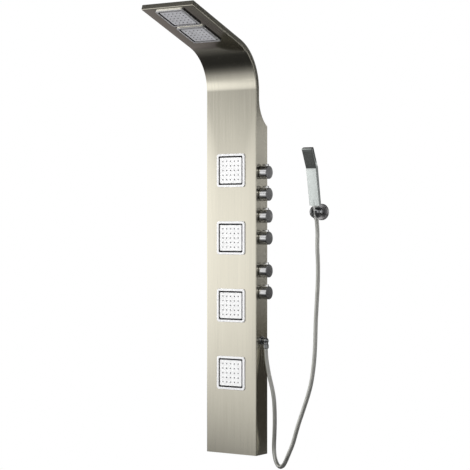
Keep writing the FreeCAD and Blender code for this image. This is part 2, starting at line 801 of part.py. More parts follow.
def build_back(name):
    """Back of the spray plate: rim that clamps the mat, water room and hollow ball stud."""
    half = plate_width / 2 - plate_wall
    mat_rear = -plate_proud + plate_skin + mat_thick
    slab_front = mat_rear + chamber_deep
    slab_rear = slab_front + back_thick
    slab = box(name + "_slab", -half, half, mat_rear, slab_rear, -half, half)
    inner = half - 2
    room = box(name + "_water", -inner, inner, mat_rear - 1, slab_front, -inner, inner)
    tray = cut(name + "_back_tray", slab, [room])
    neck = cylinder(name + "_neck", "y", 0, slab_rear - 0.5, 0, ball_radius / 2, ball_depth - slab_rear + 0.5)
    ball = sphere(name + "_ball", 0, ball_depth, 0, ball_radius)
    solid = fuse(name + "_back_solid", [tray, neck, ball])
    bore = cylinder(name + "_ball_bore", "y", 0, slab_front - 0.5, 0, channel_radius, as_size(20))
    return cut(name + "_plate_back", solid, [bore])


def build_spray_unit(name, y, z, turn):
    """All pieces of one spray unit, placed on the panel; returns its pieces and its housing."""
    bezel = build_bezel(name)
    plate = build_plate(name)
    mat = build_mat(name)
    back = build_back(name)
    back.Label = name + "_plate_back"
    housing = build_housing(name)
    for thing in (bezel, plate, mat, back, housing):
        place(thing, 0, y, z, turn)
    return [bezel, plate, mat, back], housing


# --------------------------------------------------------------------------------------- valves

outer_wall = half_width
knob_start = outer_wall + knob_gap
inner_end = manifold_right - cartridge_seat


def build_cartridge(name):
    """Brass valve cartridge from the manifold out through the flange."""
    length = outer_wall + cartridge_reach - inner_end
    barrel = cylinder(name + "_barrel", "x", inner_end, 0, 0, cartridge_radius, length)
    collar = cylinder(name + "_collar", "x", outer_wall - sheet_thick - cartridge_collar_thick, 0, 0,
                      cartridge_collar, cartridge_collar_thick)
    solid = fuse(name + "_solid", [barrel, collar])
    bore = cylinder(name + "_bore", "x", inner_end - 1, 0, 0, spindle_radius + running_play, length + 2)
    room = cylinder(name + "_room", "x", inner_end - 1, 0, 0, disc_radius + running_play,
                    disc_thick + 1 + running_play)
    return cut(name, solid, [bore, room])


def build_gland(name):
    """Six-sided gland nut that clamps the flange."""
    bar = hexagon(name + "_bar", outer_wall, 0, 0, gland_width, gland_thick)
    bore = cylinder(name + "_bore", "x", outer_wall - 1, 0, 0, cartridge_radius, gland_thick + 2)
    return cut(name, bar, [bore])


def build_spindle(name):
    """Spindle with the valve disc on its inner end, turning inside the cartridge."""
    rod = cylinder(name + "_rod", "x", inner_end, 0, 0, spindle_radius, knob_start + spindle_reach - inner_end)
    disc = cylinder(name + "_disc", "x", inner_end, 0, 0, disc_radius, disc_thick)
    spindle = fuse(name, [rod, disc])
    spindle.Label = name
    return spindle


def build_knob(name):
    """Turned knob with a recess over the gland nut, a blind spindle bore and a raised finger tab."""
    body = new_body(name)
    profile = new_sketch(body, name + "_profile", "XZ_Plane")
    end = knob_start + knob_length
    recess_end = knob_start + knob_recess
    bore_end = knob_start + spindle_reach
    corners = [(bore_end, as_size(0)), (end, as_size(0)), (end, knob_radius), (knob_start, knob_radius),
               (knob_start, knob_recess_radius), (recess_end, knob_recess_radius),
               (recess_end, spindle_radius), (bore_end, spindle_radius)]
    outline(profile, corners)
    revolve(body, profile, "H_Axis")

    def outer_rims(edge):
        """The two round rims of the knob's outside."""
        return edge.BoundBox.XLength < 0.01 and near(edge.BoundBox.ZMax, knob_radius.value)

    round_edges(body, knob_round, outer_rims)
    tab = new_sketch(body, name + "_tab", "XY_Plane", knob_radius - 3)
    tab_in = knob_start + tab_start
    rectangle(tab, tab_in, tab_in + tab_length, -tab_thick / 2, tab_thick / 2)
    pad(body, tab, tab_rise + 3)

    def tab_top(edge):
        """Edges round the tab's top face."""
        return edge.BoundBox.ZMin > knob_radius.value + 1

    round_edges(body, tab_round, tab_top)
    return body


def build_manifold():
    """Brass block with a seat for each cartridge, one upright gallery and its outlets."""
    low = base + mixer_valve_height - valve_pitch - manifold_end
    high = base + top_valve_height + manifold_end
    block = box("manifold_block", manifold_left, manifold_right, -valve_depth - manifold_half,
                -valve_depth + manifold_half, low, high)
    tools = [cylinder("gallery", "z", gallery_x, -valve_depth, low - 1, gallery_radius,
                      high - low + 2)]
    for i, height in enumerate(valve_heights):
        tools.append(cylinder("seat_%d" % (i + 1), "x", inner_end, -valve_depth, base + height,
                              cartridge_radius, cartridge_seat + 1))
        tools.append(cylinder("chamber_%d" % (i + 1), "x", gallery_x - 1, -valve_depth,
                              base + height, chamber_radius, inner_end - gallery_x + 2))
    for i, height in enumerate(valve_heights[4:]):
        tools.append(cylinder("inlet_way_%d" % (i + 1), "y", gallery_x, -valve_depth, base + height,
                              channel_radius * 2, manifold_half + 1))
    tools.append(cylinder("jet_way", "y", gallery_x, -valve_depth - manifold_half - 1, jet_link_z(),
                          channel_radius, manifold_half + 1))
    manifold = cut("valve_manifold", block, tools)
    manifold.Label = "valve_manifold"
    return manifold


def jet_link_z():
    """Height at which the body jets' pipe leaves the manifold, between two valves."""
    return base + top_valve_height - valve_pitch * 1.5


def build_inlet(name, height):
    """Supply nipple that faces the wall: a hexagon against the manifold and a pipe thread."""
    back = manifold_half - valve_depth
    bar = hexagon(name + "_hex", 0, 0, 0, inlet_hex, inlet_hex_thick)
    bar.Placement = FreeCAD.Placement(FreeCAD.Vector(), AXIS_TURNS["y"])
    place_base(bar, gallery_x, back, base + height)
    thread = cylinder(name + "_thread", "y", gallery_x, back + inlet_hex_thick - 1, base + height,
                      inlet_radius, inlet_thread + 1)
    solid = fuse(name + "_solid", [bar, thread])
    bore = cylinder(name + "_bore", "y", gallery_x, back - 1, base + height, inlet_bore,
                    inlet_thread + inlet_hex_thick + 2)
    return cut(name, solid, [bore])


# ---------------------------------------------------------------------------------------- pipes

def build_body_jet_pipe():
    """Upright pipe beside the four housings, with a stub to each and one link to the manifold."""
    y = -panel_depth + spigot_depth
    low = base + jet_heights[0] - 2 * pipe_radius
    high = base + jet_heights[3] + 2 * pipe_radius
    inner = pipe_radius - pipe_wall
    start = housing_width / 2 + spigot_length
    outside = [cylinder("jet_pipe_run", "z", gallery_x, y, low, pipe_radius, high - low)]
    inside = [cylinder("jet_pipe_bore", "z", gallery_x, y, low + pipe_wall, inner, high - low - 2 * pipe_wall)]
    for i, height in enumerate(jet_heights):
        outside.append(cylinder("jet_stub_%d" % (i + 1), "x", start, y, base + height, spigot_radius,
                                gallery_x - start))
        inside.append(cylinder("jet_stub_bore_%d" % (i + 1), "x", start - 1, y, base + height,
                               channel_radius, gallery_x - start + 1))
    reach = panel_depth - spigot_depth - valve_depth - manifold_half
    outside.append(cylinder("jet_link", "y", gallery_x, y, jet_link_z(), spigot_radius, reach))
    inside.append(cylinder("jet_link_bore", "y", gallery_x, y, jet_link_z(), channel_radius, reach + 1))
    pipe = cut("body_jet_pipe", fuse("jet_pipe_outside", outside), inside)
    pipe.Label = "body_jet_pipe"
    return pipe


def build_overhead_pipe():
    """Pipe from the manifold's top, forward, up round the bend and along the arm to both heads."""
    body = new_body("overhead_pipe")
    top = base + top_valve_height + manifold_end
    front = -panel_depth + riser_depth
    shift = panel_depth - riser_depth - valve_depth
    turn = shift / (2 - 2 * cosine(riser_turn))
    rise = turn * sine(riser_turn)
    knee = top + riser_straight
    path = new_sketch(body, "riser_path", "YZ_Plane", gallery_x)
    corners = [(-valve_depth, top), (-valve_depth, knee), (-valve_depth - shift / 2, knee + rise),
               (front, knee + 2 * rise), (front, bend_z), on_bend_end(bend_radius + riser_depth),
               on_arm(head_distances[0] + riser_end, riser_depth)]
    arcs = {1: ((-valve_depth - turn, knee), turn, "left"),
            2: ((front + turn, knee + 2 * rise), turn, "right"),
            4: ((bend_y, bend_z), bend_radius + riser_depth, "left")}
    outline(path, corners, arcs, closed=False)
    ring = new_sketch(body, "riser_ring", "XY_Plane", top)
    circle(ring, gallery_x, -valve_depth, riser_radius)
    doc.recompute()
    run = body.newObject("PartDesign::AdditivePipe", "riser_run")
    run.Profile = ring
    run.Spine = (path, ["Edge%d" % (i + 1) for i in range(len(corners) - 1)])
    stubs = new_sketch(body, "riser_stubs", "YZ_Plane", gallery_x)
    for distance in head_distances:
        y, z = on_arm(distance, spigot_depth)
        circle(stubs, y, z, spigot_radius)
    pad(body, stubs, gallery_x - housing_width / 2 - spigot_length, backwards=True)
    return body


def build_handset_pipe():
    """Pipe from the manifold's lower end down and out to the hand shower outlet."""
    low = base + outlet_height
    high = base + mixer_valve_height - valve_pitch - manifold_end
    reach = outer_wall - outlet_nipple_length - gallery_x
    inner = pipe_radius - pipe_wall
    outside = [cylinder("hand_drop", "z", gallery_x, -valve_depth, low, pipe_radius, high - low),
               sphere("hand_corner", gallery_x, -valve_depth, low, pipe_radius),
               cylinder("hand_reach", "x", gallery_x, -valve_depth, low, pipe_radius, reach)]
    inside = [cylinder("hand_drop_bore", "z", gallery_x, -valve_depth, low, inner, high - low + 1),
              sphere("hand_corner_bore", gallery_x, -valve_depth, low, inner),
              cylinder("hand_reach_bore", "x", gallery_x, -valve_depth, low, inner, reach + 1)]
    pipe = cut("handset_pipe", fuse("hand_outside", outside), inside)
    pipe.Label = "handset_pipe"
    return pipe


# ------------------------------------------------------------------------------- outlet and hose

outlet_x = outer_wall + outlet_reach
outlet_z = base + outlet_height


def build_outlet_elbow():
    """Outlet elbow with its rose against the flange, a round knee and a leg pointing down."""
    rose = new_body("outlet_rose_body")
    disc = new_sketch(rose, "outlet_rose_disc", "YZ_Plane", outer_wall)
    circle(disc, -valve_depth, outlet_z, outlet_rose)
    pad(rose, disc, outlet_rose_thick)
    round_edges(rose, outlet_rose_round, lambda edge: near(edge.BoundBox.XMin, (outer_wall + outlet_rose_thick).value))
    arm = cylinder("outlet_arm", "x", outer_wall, -valve_depth, outlet_z, outlet_leg, outlet_reach)
    knee = sphere("outlet_knee", outlet_x, -valve_depth, outlet_z, outlet_body)
    leg = cylinder("outlet_leg", "z", outlet_x, -valve_depth, outlet_z - outlet_leg_length, outlet_leg,
                   outlet_leg_length)
    nipple = cylinder("outlet_nipple", "x", outer_wall - outlet_nipple_length, -valve_depth, outlet_z,
                      outlet_nipple, outlet_nipple_length + 1)
    bore_in = cylinder("outlet_bore_in", "x", outer_wall - outlet_nipple_length - 1, -valve_depth, outlet_z,
                       hose_bore, outlet_nipple_length + outlet_reach + 1)
    bore_down = cylinder("outlet_bore_down", "z", outlet_x, -valve_depth, outlet_z - outlet_leg_length - 1,
                         hose_bore, outlet_leg_length + 1)
    solid = fuse("outlet_solid", [rose, arm, knee, leg, nipple])
    elbow = cut("outlet_elbow", solid, [bore_in, bore_down])
    elbow.Label = "outlet_elbow"
    return elbow


def build_hose_nut():
    """Round union nut on the elbow's leg, chamfered at both ends; the hose butts inside it."""
    body = new_body("hose_nut")
    profile = new_sketch(body, "hose_nut_profile", "XZ_Plane", valve_depth)
    top = outlet_z - nut_start
    low = top - nut_length
    seat = outlet_z - outlet_leg_length
    outer = outlet_x + nut_radius
    hose_seat = hose_diameter / 2 + hose_play
    corners = [(outlet_x + outlet_leg, top), (outer - nut_chamfer, top), (outer, top - nut_chamfer),
               (outer, low + nut_chamfer), (outer - nut_chamfer, low),
               (outlet_x + hose_seat, low), (outlet_x + hose_seat, seat - 1),
               (outlet_x + outlet_leg, seat - 1)]
    outline(profile, corners)
    spine = profile.addGeometry(Part.LineSegment(point(outlet_x, low), point(outlet_x, top)), True)
    limit(profile, "DistanceX", -1, 1, spine, 1, outlet_x)
    limit(profile, "DistanceX", -1, 1, spine, 2, outlet_x)
    limit(profile, "DistanceY", -1, 1, spine, 1, low)
    limit(profile, "DistanceY", -1, 1, spine, 2, top)
    revolve(body, profile, "Axis0")
    return body


# Height below the cradle's middle and lean of the cone's end give the hose's upper end.
cradle_z = base + holder_height
axis_y = -sine(lean)
axis_z = cosine(lean)
hose_gap = 0.3


def on_handset_axis(distance):
    """A point on the leaning axis of the cradle, cone and hand shower, above the cradle's middle."""
    return (-cradle_from_wall + distance * axis_y, cradle_z + distance * axis_z)


def hose_route():
    """Route of the hose from the outlet's leg to the cone, hanging below the column's lower end.

    Points are row positions in millimetres, chosen by hand, with heights from the column's bottom.
    """
    low = base.value
    end = on_handset_axis(-cone_below - hose_gap)
    before = on_handset_axis(-cone_below - hose_gap - hose_end_run)
    points = [(outlet_x.value, -valve_depth.value, outlet_z.value - outlet_leg_length.value)]
    points = points + [(x, y, z + low) for x, y, z in HOSE_POINTS]
    points.append((holder_x.value, before[0].value, before[1].value))
    points.append((holder_x.value, end[0].value, end[1].value))
    return [FreeCAD.Vector(*p) for p in points]


HOSE_POINTS = [(117, -35, 338), (122, -34.5, 302), (130.5, -34.5, 263.5), (146.5, -32, 202),
               (147, -26.5, 138.5), (142, -20, 78), (135, -14, 27), (140, -17.5, -3.5),
               (153, -25.5, -25), (173, -37.5, -34.5), (194, -51.5, -28), (211, -62, -11),
               (226, -67, 16), (243, -67, 50.5), (260, -66, 109), (281.5, -60.5, 171.5),
               (303, -54.5, 240), (311.5, -48.5, 309.5), (313.5, -43, 379), (312.5, -39, 449),
               (316, -37, 520), (319.5, -35.5, 589.5), (319.5, -36, 650), (317, -37, 700)]


def build_hose():
    """Flexible hose: straight runs joined by tangent arcs, with a round section."""
    points = hose_route()
    edges = []
    radii = []
    length = 0
    start = points[0]
    for i in range(1, len(points) - 1):
        before = points[i] - points[i - 1]
        after = points[i + 1] - points[i]
        turn = before.getAngle(after)
        shorter = min(before.Length, after.Length)
        reach = 0.45 * shorter
        radius = reach / math.tan(turn / 2)
        radii.append(radius)
        inward = points[i] - before.normalize() * reach
        outward = points[i] + after.normalize() * reach
        bisector = (points[i] - (inward + outward) * 0.5)
        to_centre = radius / math.cos(turn / 2)
        centre = points[i] - bisector.normalize() * to_centre
        middle = centre + (points[i] - centre).normalize() * radius
        edges.append(Part.LineSegment(start, inward).toShape())
        edges.append(Part.Arc(inward, middle, outward).toShape())
        length = length + (inward - start).Length + radius * turn
        start = outward
    edges.append(Part.LineSegment(start, points[-1]).toShape())
    length = length + (points[-1] - start).Length
    path = Part.Wire(edges)
    ring = Part.Wire(Part.Circle(points[0], points[1] - points[0], hose_diameter.value / 2).toShape())
    shell = Part.BRepOffsetAPI.MakePipeShell(path)
    shell.add(ring)
    shell.build()
    shell.makeSolid()
    hose = doc.addObject("Part::Feature", "hose")
    hose.Shape = shell.shape()
    hose.Placement = FreeCAD.Placement()
    hose.Label = "hose"
    section = math.pi * (hose_diameter.value / 2) ** 2
    print("hose length %.0f mm, volume over section times length %.4f" %
          (length, hose.Shape.Volume / (section * length)))
    print("hose bend radii in mm:", [round(radius) for radius in radii])
    return hose


# ------------------------------------------------------------------- wall holder and hand shower

def build_holder_base():
    """Disc screwed to the wall, with the stem that carries the cradle."""
    disc = cylinder("holder_disc", "y", 0, -holder_base_thick, 0, holder_base, holder_base_thick)
    start = cradle_from_wall - cradle_radius + holder_stem_sink
    stem = cylinder("holder_stem", "y", 0, -start, 0, holder_stem, start)
    left = cylinder("holder_left_hole", "y", -holder_screw_spacing / 2, -holder_base_thick - 1, 0,
                    holder_screw_radius, holder_base_thick + 2)
    right = cylinder("holder_right_hole", "y", holder_screw_spacing / 2, -holder_base_thick - 1, 0,
                     holder_screw_radius, holder_base_thick + 2)
    piece = cut("holder_base", fuse("holder_base_solid", [disc, stem]), [left, right])
    piece.Label = "holder_base"
    return place(piece, holder_x, 0, cradle_z)


def build_holder_rose():
    """Dished cover over the wall disc, with a hole for the stem."""
    body = new_body("holder_rose")
    disc = new_sketch(body, "rose_disc", "XZ_Plane")
    circle(disc, 0, 0, holder_rose)
    pad(body, disc, holder_rose_deep)
    rim = -holder_rose_deep
    round_edges(body, holder_rose_round, lambda edge: near(edge.BoundBox.YMax, rim.value))
    room = new_sketch(body, "rose_room", "XZ_Plane")
    circle(room, 0, 0, holder_base + 0.3)
    pocket(body, room, holder_rose_deep - holder_rose_wall, backwards=True)
    hole = new_sketch(body, "rose_hole", "XZ_Plane", holder_rose_deep)
    circle(hole, 0, 0, holder_stem + 0.1)
    pocket(body, hole, holder_rose_wall + 1)
    place(body, holder_x, 0, cradle_z)
    return body


def build_holder_cradle():
    """Ball-shaped cradle on the stem, with a conical bore and a front slot for the hose."""
    ball = sphere("cradle_ball", 0, 0, 0, cradle_radius)
    length = 2 * cradle_radius + 4
    slope = (cone_top - cone_low) / (cone_above + cone_below)
    low = cone_low + cone_play + slope * (cone_below - cradle_radius - 2)
    bore = cone("cradle_bore", 0, 0, -cradle_radius - 2, low, low + slope * length, length)
    slot = box("cradle_slot", -cradle_slot / 2, cradle_slot / 2, -cradle_radius - 2, 0,
               -cradle_radius - 2, cradle_radius + 2)
    leaning = cut("cradle_leaning", ball, [bore, slot])
    place(leaning, 0, 0, 0, lean)
    reach = cradle_radius + 1
    socket = cylinder("cradle_socket", "y", 0, cradle_radius - holder_stem_sink, 0, holder_stem, reach)
    cradle = cut("holder_cradle", leaning, [socket])
    cradle.Label = "holder_cradle"
    return place(cradle, holder_x, -cradle_from_wall, cradle_z)


def build_cone_nut():
    """Conical nut under the hand shower that rests in the cradle."""
    solid = cone("cone_solid", 0, 0, -cone_below, cone_low, cone_top, cone_above + cone_below)
    thread = cylinder("cone_thread", "z", 0, 0, cone_above - stub_length, stub_radius, stub_length + 1)
    bore = cylinder("cone_bore", "z", 0, 0, -cone_below - 1, hose_bore, cone_above + cone_below)
    nut = cut("cone_nut", solid, [thread, bore])
    nut.Label = "cone_nut"
    return place(nut, holder_x, -cradle_from_wall, cradle_z, lean)


foot = cone_above + handset_gap


def build_handset_shell():
    """Flat hand shower: a body that thickens upwards and a head tilted further forward."""
    body = new_body("handset_shell")
    side = new_sketch(body, "handset_side", "YZ_Plane")
    neck = foot + handset_length
    half_foot = handset_foot_thick / 2
    half_neck = handset_neck_thick / 2
    top_y = -half_neck - head_length * sine(head_tilt)
    top_z = neck + head_length * cosine(head_tilt)
    corners = [(-half_foot, foot), (half_foot, foot),
               (half_neck, neck + handset_neck_thick * tangent(head_tilt / 2)),
               (top_y + handset_neck_thick * cosine(head_tilt), top_z + handset_neck_thick * sine(head_tilt)),
               (top_y, top_z), (-half_neck, neck)]
    outline(side, corners)
    pad(body, side, handset_width, both_ways=True)
    half = handset_width.value / 2

    def outer_edges(edge):
        """All edges of the two flat sides except those of the foot, and the head's top edges."""
        box_of = edge.BoundBox
        on_side = near(abs(box_of.XMin), half) and box_of.XLength < 0.01
        above_foot = box_of.ZMax > foot.value + 1
        across_top = box_of.XLength > 1 and box_of.ZMin > neck.value + handset_neck_thick.value
        return (on_side and above_foot) or across_top

    round_edges(body, handset_round, outer_edges)
    window = new_sketch(body, "handset_window", "YZ_Plane")
    low = face_centre - face_tall / 2
    high = face_centre + face_tall / 2

    def on_head(distance, depth):
        """A point of the head's side: distance up its front from the neck, depth behind it."""
        return (-half_neck - distance * sine(head_tilt) + depth * cosine(head_tilt),
                neck + distance * cosine(head_tilt) + depth * sine(head_tilt))

    outline(window, [on_head(low, as_size(-1)), on_head(low, face_deep),
                     on_head(high, face_deep), on_head(high, as_size(-1))])
    pocket(body, window, face_width, both_ways=True)
    groove = new_sketch(body, "handset_groove", "YZ_Plane")
    slope = (half_neck - half_foot) / handset_length
    outline(groove, [(-half_foot - 1, foot - 1), (-half_foot + groove_deep, foot - 1),
                     (-half_foot + groove_deep - slope * groove_tall, foot + groove_tall),
                     (-half_foot - 1 - slope * groove_tall, foot + groove_tall)])
    pocket(body, groove, groove_width, both_ways=True)
    stub = new_sketch(body, "handset_stub", "XY_Plane", foot - stub_length)
    circle(stub, 0, 0, stub_radius)
    pad(body, stub, stub_length + 0.5)
    waterway = new_sketch(body, "handset_waterway", "XY_Plane", foot - stub_length)
    circle(waterway, 0, 0, hose_bore)
    pocket(body, waterway, stub_length + handset_length, backwards=True)
    place(body, holder_x, -cradle_from_wall, cradle_z, lean)
    return body


def hand_places():
    """Middle of each nozzle of the hand shower, four columns of five."""
    return [(hand_pitch * (column - 1.5), hand_pitch * (row - 2)) for row in range(5) for column in range(4)]


def place_on_head(thing):
    """Place a piece whose own origin is the middle of the head's face, with -Y out of the face."""
    half_neck = handset_neck_thick / 2
    along_y = -half_neck - face_centre * sine(head_tilt)
    along_z = foot + handset_length + face_centre * cosine(head_tilt)
    y = -cradle_from_wall + along_y * cosine(lean) - along_z * sine(lean)
    z = cradle_z + along_y * sine(lean) + along_z * cosine(lean)
    return place(thing, holder_x, y, z, lean + head_tilt)


def build_handset_face():
    """Dark spray face let into the head, with a hole for each nozzle."""
    body = new_body("handset_face")
    sheet = new_sketch(body, "hand_face_sheet", "XZ_Plane", -face_thick)
    rounded(sheet, face_width / 2 - face_play, face_tall / 2 - face_play, face_corner)
    pad(body, sheet, face_thick)
    holes = new_sketch(body, "hand_face_holes", "XZ_Plane")
    for x, z in hand_places():
        circle(holes, x, z, hand_nozzle)
    pocket(body, holes, face_thick + 1)
    place_on_head(body)
    return body


def build_handset_nozzles():
    """Rubber nozzle mat behind the hand shower's face."""
    body = new_body("handset_nozzles")
    sheet = new_sketch(body, "hand_mat_sheet", "XZ_Plane", -face_deep)
    rounded(sheet, face_width / 2 - face_play, face_tall / 2 - face_play, face_corner)
    pad(body, sheet, face_deep - face_thick)
    nozzles = new_sketch(body, "hand_mat_nozzles", "XZ_Plane", -face_deep + 0.5)
    for x, z in hand_places():
        circle(nozzles, x, z, hand_nozzle)
    pad(body, nozzles, face_deep - 0.5 + nozzle_bore)
    place_on_head(body)
    return body


# ---------------------------------------------------------------------------------- the assembly

pieces = [build_front_panel(), build_arm_cover(), build_bottom_cap(),
          build_wall_bracket("wall_bracket_upper", mount_height),
          build_wall_bracket("wall_bracket_lower", lower_mount_height),
          group("panel_hangers", [build_hanger("hanger_upper", mount_height),
                                  build_hanger("hanger_lower", lower_mount_height)])]

housings = []
for i, height in enumerate(jet_heights):
    parts, housing = build_spray_unit("jet_%d" % (i + 1), -panel_depth, base + height, as_size(0))
    pieces = pieces + parts
    housings.append(housing)
for i, distance in enumerate(head_distances):
    y, z = on_arm(distance, as_size(0))
    parts, housing = build_spray_unit("head_%d" % (i + 1), y, z, 90 - arm_angle)
    pieces = pieces + parts
    housings.append(housing)
pieces.append(group("spray_housings", housings))

cartridges = []
glands = []
for i, height in enumerate(valve_heights):
    number = i + 1
    cartridge = build_cartridge("cartridge_%d" % number)
    gland = build_gland("gland_%d" % number)
    knob = build_knob("knob_%d" % number)
    spindle = build_spindle("spindle_%d" % number)
    for thing in (cartridge, gland, knob, spindle):
        place(thing, 0, -valve_depth, base + height)
    cartridges.append(cartridge)
    glands.append(gland)
    pieces = pieces + [knob, spindle]
pieces.append(group("valve_cartridges", cartridges))
pieces.append(group("valve_gland_nuts", glands))
pieces.append(build_manifold())
pieces.append(group("supply_inlets", [build_inlet("inlet_upper", mixer_valve_height),
                                      build_inlet("inlet_lower", mixer_valve_height - valve_pitch)]))
pieces = pieces + [build_body_jet_pipe(), build_overhead_pipe(), build_handset_pipe(),
                   build_outlet_elbow(), build_hose_nut(), build_hose(),
                   build_holder_base(), build_holder_rose(), build_holder_cradle(), build_cone_nut(),
                   build_handset_shell(), build_handset_face(), build_handset_nozzles()]

doc.recompute()

faults = []
for thing in doc.Objects:
    if "Invalid" in thing.State or "Error" in thing.State:
        faults.append("%s is in state %s" % (thing.Name, thing.State))
for piece in pieces:
    if piece.Shape.isNull() or not piece.Shape.isValid() or not piece.Shape.Solids:
        faults.append("%s has no valid solid" % piece.Label)
if faults:
    raise RuntimeError("; ".join(faults))

os.makedirs("parts", exist_ok=True)
for piece in pieces:
    piece.Shape.exportStep("parts/%s.step" % piece.Label)
print("%d pieces written" % len(pieces))
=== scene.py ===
# %% [markdown]
# # A shower panel column, dressed for its portrait
#
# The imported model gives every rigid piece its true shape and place, in metres. The wall is the plane
# Y = 0, the panel's front looks towards -Y, and Z is up. This file adds what drawings leave out: the
# brushed grain, the chrome, the rubber nozzles' tone, the flexible hose, and a studio.

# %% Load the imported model
import json
import math

import bpy
import numpy as np
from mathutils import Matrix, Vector


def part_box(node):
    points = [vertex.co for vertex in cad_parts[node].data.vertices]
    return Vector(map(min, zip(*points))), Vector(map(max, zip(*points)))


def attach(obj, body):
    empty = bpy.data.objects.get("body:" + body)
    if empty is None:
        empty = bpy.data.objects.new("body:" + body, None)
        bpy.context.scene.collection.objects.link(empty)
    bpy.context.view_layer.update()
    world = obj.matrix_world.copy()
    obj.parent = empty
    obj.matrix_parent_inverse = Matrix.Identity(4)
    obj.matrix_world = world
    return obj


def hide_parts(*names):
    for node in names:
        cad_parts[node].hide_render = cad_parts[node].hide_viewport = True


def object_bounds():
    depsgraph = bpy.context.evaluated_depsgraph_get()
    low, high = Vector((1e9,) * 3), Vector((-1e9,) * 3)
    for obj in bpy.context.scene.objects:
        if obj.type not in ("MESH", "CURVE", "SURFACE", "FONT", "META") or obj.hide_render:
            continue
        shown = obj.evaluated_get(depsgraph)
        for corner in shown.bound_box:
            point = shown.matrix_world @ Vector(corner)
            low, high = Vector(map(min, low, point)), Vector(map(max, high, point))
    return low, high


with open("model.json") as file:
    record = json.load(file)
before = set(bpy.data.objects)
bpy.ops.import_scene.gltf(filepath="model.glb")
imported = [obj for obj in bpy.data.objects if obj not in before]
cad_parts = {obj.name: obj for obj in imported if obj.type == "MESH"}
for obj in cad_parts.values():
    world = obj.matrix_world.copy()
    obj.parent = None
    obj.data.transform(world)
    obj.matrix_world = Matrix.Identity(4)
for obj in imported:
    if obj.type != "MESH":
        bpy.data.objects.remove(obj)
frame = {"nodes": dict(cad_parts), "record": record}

CAD_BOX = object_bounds()
NODES = frame["nodes"]
print("nodes", len(NODES), "box", [[round(v, 3) for v in corner] for corner in CAD_BOX])

# %% [markdown]
# ## The camera
#
# The photograph was taken from the right and from far away, level with the middle of the column, so
# upright edges stay upright. A turned camera with a small downward lens shift keeps them so, where a
# tilted camera would make them converge.

# %% Camera
SENSOR_MM = 36.0
FRAME_PX = 470.0
FOCAL_PX = 1602.4
HORIZON_PX = 223.86
CAMERA_TURN = 33.854
CAMERA_PLACE = (3.0052, -4.5253, -0.269)
VIEW_DEPTH = 60.0


def add_camera():
    """A level camera: the lens in millimetres is the focal length in pixels times sensor over frame."""
    data = bpy.data.cameras.new("portrait_camera")
    data.sensor_width = SENSOR_MM
    data.lens = FOCAL_PX * SENSOR_MM / FRAME_PX
    data.shift_y = (HORIZON_PX - FRAME_PX / 2) / FRAME_PX
    data.clip_end = VIEW_DEPTH
    camera = bpy.data.objects.new("portrait_camera", data)
    camera.location = CAMERA_PLACE
    camera.rotation_euler = (math.radians(90), 0, math.radians(CAMERA_TURN))
    bpy.context.scene.collection.objects.link(camera)
    bpy.context.scene.camera = camera
    return camera


camera = add_camera()
print("lens", round(camera.data.lens, 2), "mm, shift", round(camera.data.shift_y, 4))

# %% [markdown]
# ## Materials
#
# Each finish is a small node tree. Brushed steel gets long streaks across which the tone, the
# roughness and the height change; chrome gets faint smears; plastics and rubber get a fine grain.
# Every pattern reads Object coordinates, so it stays on the piece when the piece moves. A picture
# wrapped on the piece could do the same, but a formula stays sharp at any distance and has no seams.

# %% Node helpers
PATTERN_LOW, PATTERN_HIGH = 0.3, 0.7  # nearly all of a cloud pattern lies between these two levels


def node_tools(tree):
    """A function that adds and fills a node of a tree, and one that joins two sockets."""
    def add(kind, **settings):
        """Add a node, and set its sockets or properties by name."""
        node = tree.nodes.new(kind)
        for key, value in settings.items():
            label = key.replace("_", " ")
            if label in node.inputs:
                node.inputs[label].default_value = value
            else:
                setattr(node, key, value)
        return node

    return add, tree.links.new


def new_finish(name):
    """A new material with its surface shader, and the two functions that build its nodes."""
    material = bpy.data.materials.new(name)
    material.use_nodes = True
    tree = material.node_tree
    return (material, tree.nodes["Principled BSDF"], *node_tools(tree))


print("node helpers ready")


# %% Patterns over the surface
def noise(add, link, scale, detail=2.0):
    """A cloud pattern over Object coordinates, with its own count of clouds per metre each way."""
    place = add("ShaderNodeTexCoord")
    stretch = add("ShaderNodeMapping", Scale=scale)
    cloud = add("ShaderNodeTexNoise", Scale=1.0, Detail=detail)
    link(place.outputs["Object"], stretch.inputs["Vector"])
    link(stretch.outputs["Vector"], cloud.inputs["Vector"])
    return cloud.outputs["Fac"]


def ramp(add, link, source, low, high):
    """Two colours spread over the middle of a pattern's range."""
    spread = add("ShaderNodeValToRGB")
    ends = zip(spread.color_ramp.elements, (PATTERN_LOW, PATTERN_HIGH), (low, high))
    for end, position, colour in ends:
        end.position = position
        end.color = (*colour, 1)
    link(source, spread.inputs["Fac"])
    return spread.outputs["Color"]


def between(add, link, source, start, end, low, high):
    """A number that runs from low to high while the source runs from start to end."""
    change = add("ShaderNodeMapRange", From_Min=start, From_Max=end, To_Min=low, To_Max=high)
    link(source, change.inputs["Value"])
    return change.outputs["Result"]


def spread_value(add, link, source, low, high):
    """A number that runs from low to high over the middle of a pattern's range."""
    return between(add, link, source, PATTERN_LOW, PATTERN_HIGH, low, high)


print("patterns ready")


# %% Height, sides and products
def raise_by(add, link, shader, source, height, strength):
    """Bump from a pattern, with its height in metres."""
    bump = add("ShaderNodeBump", Strength=strength, Distance=height)
    link(source, bump.inputs["Height"])
    link(bump.outputs["Normal"], shader.inputs["Normal"])


